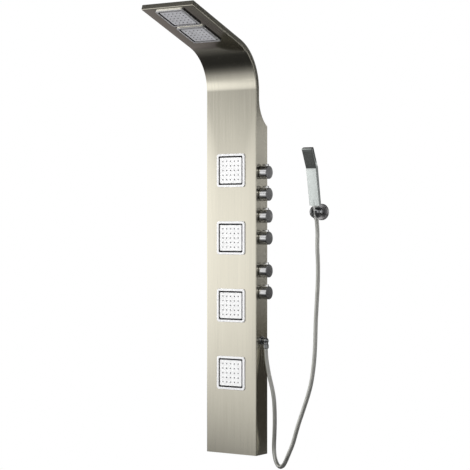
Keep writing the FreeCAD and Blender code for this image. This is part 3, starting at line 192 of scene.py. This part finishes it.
def by_side(add, link, front, side):
    """One pattern on faces that look along Y or Z, and another on faces that look along X: the share
    of the second is the size of the normal's X part."""
    place = add("ShaderNodeTexCoord")
    split = add("ShaderNodeSeparateXYZ")
    size = add("ShaderNodeMath", operation="ABSOLUTE")
    mix = add("ShaderNodeMix", data_type="FLOAT")
    link(place.outputs["Normal"], split.inputs["Vector"])
    link(split.outputs["X"], size.inputs[0])
    link(size.outputs[0], mix.inputs["Factor"])
    link(front, mix.inputs["A"])
    link(side, mix.inputs["B"])
    return mix.outputs["Result"]


COLOUR_A, COLOUR_B, COLOUR_RESULT = 6, 7, 2  # where a Mix node keeps its colour sockets


def product(add):
    """A node that multiplies two colours in full."""
    node = add("ShaderNodeMix", data_type="RGBA", blend_type="MULTIPLY")
    node.inputs[0].default_value = 1.0
    return node


print("height and sides ready")

# %% [markdown]
# ### Brushed panel steel
#
# The panel is one folded sheet of brushed steel with a warm nickel tone. A belt with fine grit ran
# along the sheet's long way, so the scratches go up the column and round the bend. Noise that is 1400
# clouds a metre across and 6 along gives such scratches; the side flanges look along X, so theirs are
# counted along Y. A second, wider noise gives the slow change of tone from streak to streak.

# %% Brushed steel
STREAKS, STREAK_RUN = 1400, 6
BANDS, BAND_RUN = 160, 1.5
STREAK_TONES = (0.84, 0.80, 0.67), (0.93, 0.885, 0.75)
BAND_TONES = (0.97, 0.97, 0.97), (1.0, 1.0, 1.0)
FRONT_BLUR, FLANGE_BLUR = (0.11, 0.17), (0.14, 0.20)
STREAK_HEIGHT = 0.00004


def long_streaks(add, link, count, run, detail):
    """Streaks that run up the piece, counted across each face's own width."""
    across = noise(add, link, (count, run, run), detail)
    sideways = noise(add, link, (run, count, run), detail)
    return by_side(add, link, across, sideways)


def brushed_panel_steel():
    """Warm brushed nickel steel: fine streaks that run the sheet's long way, up and round the bend."""
    material, shader, add, link = new_finish("brushed_panel_steel")
    streak = long_streaks(add, link, STREAKS, STREAK_RUN, 3.0)
    band = long_streaks(add, link, BANDS, BAND_RUN, 2.0)
    colour = product(add)
    link(ramp(add, link, streak, *STREAK_TONES), colour.inputs[COLOUR_A])
    link(ramp(add, link, band, *BAND_TONES), colour.inputs[COLOUR_B])
    link(colour.outputs[COLOUR_RESULT], shader.inputs["Base Color"])
    shader.inputs["Metallic"].default_value = 1.0
    blur = by_side(add, link, spread_value(add, link, streak, *FRONT_BLUR),
                   spread_value(add, link, streak, *FLANGE_BLUR))
    link(blur, shader.inputs["Roughness"])
    raise_by(add, link, shader, streak, STREAK_HEIGHT, 1.0)
    return material


panel_steel = brushed_panel_steel()
print("made", panel_steel.name)

# %% [markdown]
# ### Plated metals
#
# Plated and plain metals differ in colour and in how far they blur what they mirror. Real plating has
# faint smears, and a very shallow waviness that bends its reflections. Some plating here is satin: the
# photograph shows it paler and softer than chrome, which a part-metal surface gives.

# %% Plated metals
SMEAR = (40, 40, 90)
WAVES = (25, 25, 25)
WAVE_HEIGHT, WAVE_STRENGTH = 0.00005, 0.05
SMEAR_SHADE = 0.96


def add_waves(add, link, shader):
    """The shallow waviness that every plated surface has."""
    raise_by(add, link, shader, noise(add, link, WAVES, 1.0), WAVE_HEIGHT, WAVE_STRENGTH)


def chromed(name, colour, blur, metallic=1.0):
    """Bright plated metal with faint smears in its tone and roughness."""
    material, shader, add, link = new_finish(name)
    shader.inputs["Metallic"].default_value = metallic
    smear = noise(add, link, SMEAR, 4.0)
    darker = tuple(SMEAR_SHADE * part for part in colour)
    link(ramp(add, link, smear, darker, colour), shader.inputs["Base Color"])
    link(spread_value(add, link, smear, *blur), shader.inputs["Roughness"])
    add_waves(add, link, shader)
    return material


def painted_side_shade(name, front, side, blur, metallic):
    """A grey plating with one tone on faces along Y or Z and a darker one on faces along X, which is
    painted shade.
    """
    material, shader, add, link = new_finish(name)
    shader.inputs["Metallic"].default_value = metallic
    smear = noise(add, link, SMEAR, 4.0)
    # The darker tone on faces along X is painted shade.
    side_shade_tone = by_side(add, link, spread_value(add, link, smear, *front),
                   spread_value(add, link, smear, *side))
    link(side_shade_tone, shader.inputs["Base Color"])
    link(spread_value(add, link, smear, *blur), shader.inputs["Roughness"])
    add_waves(add, link, shader)
    return material


METALS = {
    "chrome": chromed("bright_chrome", (0.80, 0.82, 0.83), (0.05, 0.10)),
    "satin": chromed("satin_frame", (0.92, 0.92, 0.93), (0.16, 0.22), 0.2),
    # A darker copy of the bright chrome for the elbow, hose nut and cradle: painted shade for the dark
    # reflections these fittings show.
    "elbow": chromed("chrome_painted_darker", (0.48, 0.49, 0.50), (0.05, 0.10)),
    "cone": chromed("satin_cone", (0.74, 0.74, 0.72), (0.12, 0.18), 0.7),
    "rose": chromed("dull_rose", (0.66, 0.64, 0.65), (0.36, 0.44)),
    "brass": chromed("turned_brass", (0.80, 0.62, 0.32), (0.25, 0.35)),
    "copper": chromed("copper_tube", (0.78, 0.47, 0.33), (0.25, 0.40)),
    "zinc": chromed("zinc_plated_steel", (0.62, 0.63, 0.64), (0.35, 0.50)),
    # Knobs: round sides paler than the bright chrome, a painted highlight, and end faces along X much
    # darker, painted shade.
    "knob": painted_side_shade("knob_chrome_painted_shade", (0.92, 0.96), (0.30, 0.36), (0.17, 0.22), 1.0),
    # Arm frame: its faces along X are near black, painted shade on the side walls.
    "arm_frame_painted_side_shade": painted_side_shade("arm_frame_painted_side_shade", (0.86, 0.90), (0.03, 0.05), (0.08, 0.14), 0.72),
}
print("metals", sorted(METALS))

# %% [markdown]
# ### The hand shower's plating
#
# The stick's broad faces are pale satin plating, its head is plain chrome, and its narrow sides are
# painted darker, which is painted shade. The join between body and head is at the neck, a little below
# the spray face. The body is painted paler on its left than on its right by a slow fade across its
# width, which is painted shade as well.

# %% Hand shower plating
HANDSET_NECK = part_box("handset_face")[0][2] - 0.014
NECK_BLEND = 0.001
HANDSET_SIDES = [corner[0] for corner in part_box("handset_shell")]
BODY_METAL, HEAD_METAL, SIDE_METAL = 0.62, 1.0, (0.97, 1.0)
# Painted shade: the body's fade across its width and the darker tone of the narrow sides.
BODY_PAINTED_SHADE, FADE_SMEAR, SIDE_PAINTED_SHADE_TONES = (0.98, 0.78), (0.97, 1.0), (0.44, 0.5)
COOL_TINT = (1.0, 1.06, 1.03, 1)
HANDSET_BLUR = 0.12, 0.18


def handset_plating():
    """Pale satin plating on the body's broad faces, plain chrome on the head, and sides painted darker;
    the body's tone fades across its width. Both are painted shade.
    """
    material, shader, add, link = new_finish("handset_plating")
    place = add("ShaderNodeTexCoord")
    split = add("ShaderNodeSeparateXYZ")
    link(place.outputs["Object"], split.inputs["Vector"])
    metal = between(add, link, split.outputs["Z"], HANDSET_NECK - NECK_BLEND,
                    HANDSET_NECK + NECK_BLEND, BODY_METAL, HEAD_METAL)
    plated = spread_value(add, link, metal, *SIDE_METAL)
    link(by_side(add, link, metal, plated), shader.inputs["Metallic"])
    smear = noise(add, link, SMEAR, 4.0)
    # Painted shade: the body's tone fades from paler on the left to darker on the right.
    fade = between(add, link, split.outputs["X"], *HANDSET_SIDES, *BODY_PAINTED_SHADE)
    smear_and_painted_shade = add("ShaderNodeMath", operation="MULTIPLY")
    link(fade, smear_and_painted_shade.inputs[0])
    link(spread_value(add, link, smear, *FADE_SMEAR), smear_and_painted_shade.inputs[1])
    # Painted shade: the narrow sides take a darker tone.
    tone = by_side(add, link, smear_and_painted_shade.outputs[0], spread_value(add, link, smear, *SIDE_PAINTED_SHADE_TONES))
    tint = product(add)
    tint.inputs[COLOUR_B].default_value = COOL_TINT
    link(tone, tint.inputs[COLOUR_A])
    link(tint.outputs[COLOUR_RESULT], shader.inputs["Base Color"])
    link(spread_value(add, link, smear, *HANDSET_BLUR), shader.inputs["Roughness"])
    add_waves(add, link, shader)
    return material


METALS["handset"] = handset_plating()
print("neck at", round(HANDSET_NECK, 4), "sides at", [round(x, 4) for x in HANDSET_SIDES])

# %% [markdown]
# ### Plastics and rubber
#
# The spray plates are white moulded plastic, the nozzles and the spray face dark rubber and plastic,
# and the housings behind grey. All have a fine cast grain and a slight change of tone. Plain diffuse
# shading is enough for them, since the photograph shows no reflection in them.

# %% Plastics and rubber
CAST_CLOUDS = (30, 30, 30)
CAST_GRAIN = (1500, 1500, 1500)
GRAIN_HEIGHT = 0.00002
CAST_SHADE = 0.95
CAST_BLUR = 0.04


def moulded(name, colour, roughness, grain):
    """Moulded plastic or rubber with a fine cast grain and a slight change of tone."""
    material, shader, add, link = new_finish(name)
    shader.inputs["Metallic"].default_value = 0.0
    cloud = noise(add, link, CAST_CLOUDS, 3.0)
    darker = tuple(CAST_SHADE * part for part in colour)
    link(ramp(add, link, cloud, darker, colour), shader.inputs["Base Color"])
    blur = spread_value(add, link, cloud, roughness - CAST_BLUR, roughness + CAST_BLUR)
    link(blur, shader.inputs["Roughness"])
    raise_by(add, link, shader, noise(add, link, CAST_GRAIN, 2.0), GRAIN_HEIGHT, grain)
    return material


PLASTICS = {
    # The plates under the arm get a greyer, bluer copy of the white plate: painted shade.
    "arm_plate_painted_shade": moulded("arm_plate_painted_shade", (0.60, 0.60, 0.63), 0.5, 0.05),
    "white": moulded("white_spray_plate", (0.87, 0.87, 0.87), 0.5, 0.05),
    "rubber": moulded("grey_nozzle_rubber", (0.09, 0.09, 0.095), 0.6, 0.3),
    "inner": moulded("grey_housing_plastic", (0.08, 0.08, 0.085), 0.5, 0.2),
    "face": moulded("dark_spray_face", (0.07, 0.075, 0.07), 0.35, 0.1),
    "cover": moulded("dark_back_sheet", (0.22, 0.22, 0.21), 0.5, 0.2),
}
FINISHES = {"panel": panel_steel, **METALS, **PLASTICS}
print("finishes", sorted(FINISHES))

# %% [markdown]
# ### Which piece gets which finish
#
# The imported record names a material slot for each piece, and most finishes follow it. A few pieces of
# one slot look different in the photograph, such as the knobs among the chromed ones, and are picked
# out by their names. Curved faces are shaded smooth, and edges sharper than a set angle stay crisp.

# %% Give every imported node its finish
FINISH_OF_SLOT = {
    "brushed_panel": "panel", "dark_sheet": "cover", "zinc_steel": "zinc", "chrome_trim": "chrome",
    "white_plate": "white", "grey_rubber": "rubber", "grey_plastic": "inner",
    "brass_fitting": "brass", "copper_pipe": "copper", "hose_steel": "chrome",
    "handset_chrome": "handset", "dark_plastic": "face",
}
# The darker chrome of the elbow, hose nut and cradle is painted shade.
FINISH_OF_NODE = {
    "holder_rose": "rose", "cone_nut": "cone", "outlet_elbow": "elbow", "hose_nut": "elbow",
    "holder_cradle": "elbow",
}
# The knob, arm frame and arm plate finishes picked out here carry painted shade.
FINISH_OF_FORM = [  # how a name starts and ends, and its finish; the first that fits counts
    ("knob", "", "knob"), ("head", "_bezel", "arm_frame_painted_side_shade"), ("head", "_plate", "arm_plate_painted_shade"),
    ("", "_bezel", "satin"),
]
SLOT_OF_NODE = {part["node"]: part["material_slot"] for part in frame["record"]["subparts"]}


def finish_of(name):
    """The finish of a node: by its whole name, else by its form, else by its slot."""
    if name in FINISH_OF_NODE:
        return FINISHES[FINISH_OF_NODE[name]]
    for start, end, finish in FINISH_OF_FORM:
        if name.startswith(start) and name.endswith(end):
            return FINISHES[finish]
    return FINISHES[FINISH_OF_SLOT[SLOT_OF_NODE[name]]]


print("slots", len(FINISH_OF_SLOT))

# %% Dress the nodes
CREASE_ANGLE = 30
CREASE_OF_NODE = {"handset_shell": 8}
WELD_REACH = 0.000002


def dress_node(name):
    """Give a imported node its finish, and smooth shading on its curved faces."""
    node = NODES[name]
    node.data.materials.clear()
    node.data.materials.append(finish_of(name))
    weld = node.modifiers.new("join_triangles", "WELD")
    weld.merge_threshold = WELD_REACH
    split = node.modifiers.new("keep_creases", "EDGE_SPLIT")
    split.split_angle = math.radians(CREASE_OF_NODE.get(name, CREASE_ANGLE))
    node.data.polygons.foreach_set("use_smooth", np.ones(len(node.data.polygons), bool))


for name in NODES:
    dress_node(name)
print("dressed", len(NODES), "nodes")

# %% [markdown]
# ## The hose
#
# A shower hose is a steel strip wound into a tube, so up close it is a row of fine rings. It leaves
# the outlet nut downwards, hangs in a narrow bend and rises to the cone nut under the hand shower. Its
# route is a short list of control points, and a smooth spline through them gives the line it hangs in.
# A simulated rope would need the wall and both fittings as well, and would still have to be led to the
# photographed line, so the line is given.

# %% Hose route
HOSE_DIAMETER = 0.014
COLUMN_FOOT = -1.040
SPLINE_ORDER, SPLINE_STEPS = 3, 24
HOSE_CONTROLS_MM = [  # across, towards the wall, above the column's foot
    (117, -35, 362), (117, -35, 338), (122, -34.5, 302), (130.5, -34.5, 263.5),
    (146.5, -32, 202), (147, -26.5, 138.5), (142, -20, 78), (135, -14, 27),
    (140, -17.5, -3.5), (153, -25.5, -25), (173, -37.5, -34.5), (194, -51.5, -28),
    (211, -62, -11), (226, -67, 16), (243, -67, 50.5), (260, -66, 109),
    (281.5, -60.5, 171.5), (303, -54.5, 240), (311.5, -48.5, 309.5), (313.5, -43, 379),
    (312.5, -39, 449), (316, -37, 520), (319.5, -35.5, 589.5), (319.5, -36, 650),
    (317, -37, 700), (313, -26.49, 744.71), (313, -33.78, 786.07)]
HOSE_ROUTE = np.array(HOSE_CONTROLS_MM) / 1000 + np.array([0, 0, COLUMN_FOOT])


def smooth_line(points):
    """Points along a smooth spline that has the route's points as its control points."""
    curve = bpy.data.curves.new("hose_line", "CURVE")
    curve.dimensions = "3D"
    spline = curve.splines.new("NURBS")
    spline.points.add(len(points) - 1)
    for control, place in zip(spline.points, points):
        control.co = (*place, 1)
    spline.order_u = SPLINE_ORDER
    spline.use_endpoint_u = True
    spline.resolution_u = SPLINE_STEPS
    holder = bpy.data.objects.new("hose_line", curve)
    mesh = bpy.data.meshes.new_from_object(holder)
    line = np.array([v.co[:] for v in mesh.vertices])
    bpy.data.objects.remove(holder)
    bpy.data.curves.remove(curve)
    bpy.data.meshes.remove(mesh)
    return line


HOSE_LINE = smooth_line(HOSE_ROUTE)

# %% [markdown]
# ### A tube from numpy
#
# A swept piece is a grid of points: one direction runs round the section and the other along the line.
# Each cell of the grid becomes one quad. The rings are a small ripple of the radius with the length
# along the line, so they are real shape, and they bend with the hose.

# %% Tube surface
SHARP_EDGE = 40


def frames_along(path):
    """Side and up directions at each point of a path, turned as little as possible between
    neighbours: each side direction is the one before it with its part along the tangent taken out."""
    tangent = np.gradient(path, axis=0)
    tangent /= np.linalg.norm(tangent, axis=1, keepdims=True)
    side = np.zeros_like(path)
    guess = np.array([0.0, 1.0, 0.0])
    for k, t in enumerate(tangent):
        guess = guess - t * (guess @ t)
        guess = guess / np.linalg.norm(guess)
        side[k] = guess
    return side, np.cross(tangent, side)


def tube_points(path, radii, around):
    """Points of a round tube: centre + radius x (cos a x side + sin a x up) at each path point."""
    side, up = frames_along(path)
    angle = np.linspace(0, 2 * math.pi, around, endpoint=False)
    ring = (np.cos(angle)[None, :, None] * side[:, None]
            + np.sin(angle)[None, :, None] * up[:, None])
    return path[:, None] + ring * np.asarray(radii)[:, None, None]


def tube_mesh(name, points):
    """Closed tube from an array of points[along, round, xyz], with a face over each end."""
    rows, columns = points.shape[:2]
    index = np.arange(rows * columns).reshape(rows, columns)
    after = np.roll(index, -1, axis=1)
    faces = np.stack([index[:-1], after[:-1], after[1:], index[1:]], -1).reshape(-1, 4).tolist()
    faces.append(index[0, ::-1].tolist())
    faces.append(index[-1].tolist())
    mesh = bpy.data.meshes.new(name)
    mesh.from_pydata(points.reshape(-1, 3).tolist(), [], faces)
    mesh.update()
    piece = bpy.data.objects.new(name, mesh)
    bpy.context.scene.collection.objects.link(piece)
    mesh.polygons.foreach_set("use_smooth", np.ones(len(mesh.polygons), bool))
    mesh.set_sharp_from_angle(angle=math.radians(SHARP_EDGE))
    return piece


print("tube helpers ready")

# %% Hose surface and steel
RING_PITCH = 0.0024
RING_DEPTH = 0.00028
POINTS_PER_RING = 4
POINTS_ROUND = 20
HOSE_TONES = (0.62, 0.62, 0.58), (0.68, 0.68, 0.635)
HOSE_METAL, HOSE_BLUR = 0.85, (0.30, 0.34)


def even_path(line, step):
    """The same line with points spaced evenly along its length."""
    length = np.concatenate([[0], np.cumsum(np.linalg.norm(np.diff(line, axis=0), axis=1))])
    where = np.linspace(0, length[-1], int(length[-1] / step) + 1)
    return where, np.stack([np.interp(where, length, line[:, k]) for k in range(3)], -1)


def hose_steel():
    """The wound strip's steel, a little duller than the plated fittings."""
    material, shader, add, link = new_finish("wound_hose_steel")
    shader.inputs["Metallic"].default_value = HOSE_METAL
    tone = noise(add, link, (60, 60, 60), 3.0)
    link(ramp(add, link, tone, *HOSE_TONES), shader.inputs["Base Color"])
    link(spread_value(add, link, tone, *HOSE_BLUR), shader.inputs["Roughness"])
    return material


def make_hose():
    """Tube whose radius is the hose's own less a ripple: depth x (1 - |cos(pi x length / pitch)|)."""
    where, path = even_path(HOSE_LINE, RING_PITCH / POINTS_PER_RING)
    ripple = 1 - np.abs(np.cos(math.pi * where / RING_PITCH))
    radii = HOSE_DIAMETER / 2 - RING_DEPTH * ripple
    hose = tube_mesh("flexible_hose", tube_points(path, radii, POINTS_ROUND))
    hose.data.materials.append(hose_steel())
    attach(hose, "panel")
    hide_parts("hose")
    return hose


hose = make_hose()
print("hose faces", len(hose.data.polygons))

# %% [markdown]
# ## The studio
#
# Brushed steel and chrome are mirrors with a slight blur, so they look like what stands round them.
# The surroundings are white. Large cards that only reflections see stand in them, as a photographer's
# soft boxes and flags would, and each fades along one direction. Lighting the steel with lamps alone
# would leave it nearly black, since a mirror shows a lamp as a small spot.

# %% Studio floor
FLOOR_DROP = 0.35
FLOOR_HEIGHT = CAD_BOX[0][2] - FLOOR_DROP
FLOOR_HALF = 14.0
FLOOR_WHITE = (0.9, 0.9, 0.9, 1)
SHADE_NEAR, SHADE_FAR = 1.1, 2.0
SHADE_SHARE = 0.2


def seen_directly(add, link):
    """1 for rays from the camera, a reflection or through glass, and 0 for rays that gather light."""
    path = add("ShaderNodeLightPath")
    both = add("ShaderNodeMath", operation="MAXIMUM")
    total = add("ShaderNodeMath", operation="MAXIMUM")
    link(path.outputs["Is Camera Ray"], both.inputs[0])
    link(path.outputs["Is Glossy Ray"], both.inputs[1])
    link(both.outputs[0], total.inputs[0])
    link(path.outputs["Is Transmission Ray"], total.inputs[1])
    return total.outputs[0]


def bare_material(name):
    """A material with nothing in it but its output, and the functions that build its nodes."""
    material = bpy.data.materials.new(name)
    material.use_nodes = True
    material.node_tree.nodes.clear()
    add, link = node_tools(material.node_tree)
    return material, add("ShaderNodeOutputMaterial"), add, link


def pale_floor_finish():
    """White where it is seen, with a share of real shading close to the object that keeps its shadow:
    the share falls from SHADE_SHARE to nothing between two distances from the object."""
    material, output, add, link = bare_material("pale_floor")
    diffuse = add("ShaderNodeBsdfDiffuse", Color=FLOOR_WHITE)
    glow = add("ShaderNodeEmission")
    place = add("ShaderNodeTexCoord")
    flat = add("ShaderNodeVectorMath", operation="MULTIPLY")
    flat.inputs[1].default_value = (1, 1, 0)
    reach = add("ShaderNodeVectorMath", operation="LENGTH")
    amount = add("ShaderNodeMath", operation="MULTIPLY")
    mix = add("ShaderNodeMixShader")
    link(place.outputs["Object"], flat.inputs[0])
    link(flat.outputs["Vector"], reach.inputs[0])
    white = between(add, link, reach.outputs["Value"], SHADE_NEAR, SHADE_FAR, 1 - SHADE_SHARE, 1)
    link(seen_directly(add, link), amount.inputs[0])
    link(white, amount.inputs[1])
    link(amount.outputs[0], mix.inputs["Fac"])
    link(diffuse.outputs[0], mix.inputs[1])
    link(glow.outputs[0], mix.inputs[2])
    link(mix.outputs[0], output.inputs["Surface"])
    return material


def flat_sheet(name, corners, material):
    """One rectangle of the studio, given by its four corners."""
    mesh = bpy.data.meshes.new(name)
    mesh.from_pydata([tuple(corner) for corner in corners], [], [(0, 1, 2, 3)])
    mesh.materials.append(material)
    sheet = bpy.data.objects.new(name, mesh)
    bpy.context.scene.collection.objects.link(sheet)
    return sheet


square = [(-FLOOR_HALF, -FLOOR_HALF), (FLOOR_HALF, -FLOOR_HALF),
          (FLOOR_HALF, FLOOR_HALF), (-FLOOR_HALF, FLOOR_HALF)]
flat_sheet("studio_floor", [(x, y, FLOOR_HEIGHT) for x, y in square], pale_floor_finish())
print("floor at", round(FLOOR_HEIGHT, 3))

# %% [markdown]
# ### Cards that only reflections see
#
# The tall front card gives the column its pale face, which fades to the foot and a little to the
# right. The floor card gives the dark band under the bend, and a small card on it the arm's fade from
# left to right. The back cards give the flange its bands. The roof, the right card and the two on the
# camera's side give the fittings their darks and lights.

# %% Card helpers
WHITE = (1, 1, 1)
FADE_FROM = -3.31


def graded_glow(name, axis, levels, tint, fade):
    """A glow whose level follows one coordinate: levels is a list of (coordinate, level) pairs. Its
    strength is 1 - fade x (X - FADE_FROM)."""
    material, output, add, link = bare_material(name)
    place = add("ShaderNodeTexCoord")
    split = add("ShaderNodeSeparateXYZ")
    spread = add("ShaderNodeValToRGB")
    glow = add("ShaderNodeEmission")
    slope = add("ShaderNodeMath", operation="MULTIPLY_ADD")
    low, high = levels[0][0], levels[-1][0]
    stops = spread.color_ramp.elements
    while len(stops) < len(levels):
        stops.new(0.5)
    for stop, (where, level) in zip(stops, levels):
        stop.position = (where - low) / (high - low)
        stop.color = (*(level * part for part in tint), 1)
    slope.inputs[1].default_value = -fade
    slope.inputs[2].default_value = 1 + fade * FADE_FROM
    link(place.outputs["Object"], split.inputs["Vector"])
    link(between(add, link, split.outputs[axis], low, high, 0, 1), spread.inputs["Fac"])
    link(spread.outputs["Color"], glow.inputs["Color"])
    link(split.outputs["X"], slope.inputs[0])
    link(slope.outputs[0], glow.inputs["Strength"])
    link(glow.outputs[0], output.inputs["Surface"])
    return material


def add_card(name, centre, facing, width, axis, levels, tint=WHITE, fade=0.0):
    """An upright or lying card: across is square to its facing and to its graded axis, and its length
    runs from the first to the last coordinate of its levels."""
    along = np.array([axis == "X", axis == "Y", axis == "Z"], float)
    across = np.cross(along, facing)
    across = across / np.linalg.norm(across) * width / 2
    middle = np.array(centre) * (1 - along)
    low, high = levels[0][0], levels[-1][0]
    corners = [middle + along * low - across, middle + along * low + across,
               middle + along * high + across, middle + along * high - across]
    card = flat_sheet(name, corners, graded_glow(name + "_glow", axis, levels, tint, fade))
    card.visible_camera = False
    card.visible_diffuse = False
    card.visible_shadow = False
    return card


print("card helpers ready")

# %% Card levels
CARD_FOOT, CARD_TOP = -1.42, 2.2
FRONT_LEVELS = [(CARD_FOOT, 0.64), (-1.27, 0.72), (-1.13, 0.79), (-1.0, 0.86), (-0.86, 0.91),
                (-0.6, 0.96), (0.0, 0.96), (0.13, 0.88), (0.24, 0.70), (0.38, 0.46),
                (0.5, 0.38), (0.8, 0.34), (1.1, 0.75), (1.9, 0.75), (CARD_TOP, 0.3)]
FRONT_FADE = 0.22
FLOOR_LEVELS = [(-4.65, 0.64), (-3.85, 0.55), (-3.04, 0.44), (-2.4, 0.33), (-1.7, 0.13),
                (-1.2, 0.035), (-0.8, 0.02), (-0.1, 0.025), (0.9, 0.12), (4.5, 0.16)]
ARM_LEVELS = [(-2.4, 0.21), (-1.95, 0.185), (-1.85, 0.165), (-1.75, 0.140), (-1.68, 0.122),
              (-1.6, 0.102), (-1.54, 0.080), (-1.2, 0.070)]
ARM_TINT = (1.0, 0.93, 0.985)
ROOF_LEVELS = [(-6.0, 0.85), (-3.2, 0.75), (-2.7, 0.40), (-2.2, 0.10), (-1.5, 0.04),
               (0.0, 0.02), (6.0, 0.02)]
CAMERA_SIDE_LEVELS = [(CARD_FOOT, 0.10), (CARD_TOP, 0.10)]
CAMERA_FLOOR_LEVELS = [(-6.0, 0.10), (0.1, 0.05)]
RIGHT_LEVELS = [(-3.8, 0.65), (-2.2, 0.65), (-1.4, 0.30), (2.2, 0.25)]
LOW_LEVELS = [(CARD_FOOT, 0.030), (-1.28, 0.032), (-1.1, 0.033), (-0.94, 0.026),
              (-0.84, 0.055), (-0.72, 0.14)]
LOW_TINT = (1.0, 0.93, 0.81)
MIDDLE_LEVELS = [(-0.72, 0.12), (-0.2, 0.25), (0.17, 0.38), (0.25, 0.38), (0.29, 0.04),
                 (0.48, 0.04)]
HIGH_LEVELS = [(0.48, 0.06), (CARD_TOP, 0.06)]
print("brightest card level", max(level for _, level in FRONT_LEVELS))

# %% Put the cards up
LOOK_AT_FRONT = (0.557, 0.83, 0)
LOOK_AT_BACK = (-0.557, -0.83, 0)
LOOK_AT_SIDE = (-0.557, 0.83, 0)
LOOK_UP, LOOK_DOWN, LOOK_LEFT = (0, 0, 1), (0, 0, -1), (-1, 0, 0)
ON_FLOOR = FLOOR_HEIGHT + 0.01
CARD_GAP = 0.005
BACK_PLACE, BACK_WIDTH = (1.5, 2.1, 0), 3.6
cards = [
    add_card("front_card", (-3.12, -4.65, 0), LOOK_AT_FRONT, 8.0, "Z", FRONT_LEVELS,
             fade=FRONT_FADE),
    add_card("floor_card", (0, 0, ON_FLOOR), LOOK_UP, 12.0, "Y", FLOOR_LEVELS),
    add_card("arm_card", (0, 1.42, ON_FLOOR + CARD_GAP), LOOK_UP, 0.96, "X", ARM_LEVELS, ARM_TINT),
    add_card("roof_card", (0, 0, CARD_TOP), LOOK_DOWN, 12.0, "Y", ROOF_LEVELS),
    add_card("camera_side_card", (3.4, -5.1, 0), LOOK_AT_SIDE, 5.0, "Z", CAMERA_SIDE_LEVELS),
    add_card("camera_floor_card", (3.3, 0, ON_FLOOR + 2 * CARD_GAP), LOOK_UP, 5.8, "Y",
             CAMERA_FLOOR_LEVELS),
    add_card("right_card", (4.8, 0, 0.4), LOOK_LEFT, 3.6, "Y", RIGHT_LEVELS),
    add_card("low_back_card", BACK_PLACE, LOOK_AT_BACK, BACK_WIDTH, "Z", LOW_LEVELS, LOW_TINT),
    add_card("middle_back_card", (1.6, 2.03, 0), LOOK_AT_BACK, 0.85, "Z", MIDDLE_LEVELS),
    add_card("high_back_card", BACK_PLACE, LOOK_AT_BACK, BACK_WIDTH, "Z", HIGH_LEVELS),
]
print("cards", [card.name for card in cards])

# %% [markdown]
# ### World and lamps
#
# The world is plain white where it is seen and softer as light. Two large soft lamps light the plates
# and the other dull surfaces. Reflections don't show them, so they leave no spots in the steel.

# %% World and lamps
WORLD_LIGHT, WORLD_SEEN = 0.5, 1.0


def add_world():
    """A white sky: full strength where it is seen, and softer as light."""
    world = bpy.data.worlds.new("studio_world")
    bpy.context.scene.world = world
    world.use_nodes = True
    add, link = node_tools(world.node_tree)
    sky = world.node_tree.nodes["Background"]
    sky.inputs["Color"].default_value = (1, 1, 1, 1)
    strength = between(add, link, seen_directly(add, link), 0, 1, WORLD_LIGHT, WORLD_SEEN)
    link(strength, sky.inputs["Strength"])


def add_lamp(name, place, target, size, power):
    """A square soft lamp aimed at a point, left out of reflections."""
    data = bpy.data.lights.new(name, "AREA")
    data.size = size
    data.energy = power
    lamp = bpy.data.objects.new(name, data)
    lamp.location = place
    lamp.rotation_euler = (Vector(target) - Vector(place)).to_track_quat("-Z", "Y").to_euler()
    lamp.visible_glossy = False
    bpy.context.scene.collection.objects.link(lamp)
    return lamp


add_world()
lamps = [
    add_lamp("key_lamp", (-1.6, -3.0, 1.6), (0.1, 0, -0.2), 1.6, 82),
    add_lamp("fill_lamp", (2.6, -2.4, 0.6), (0.1, 0, -0.3), 2.0, 25),
]
bpy.context.scene.view_settings.view_transform = "Standard"
print("lamps", [lamp.name for lamp in lamps])
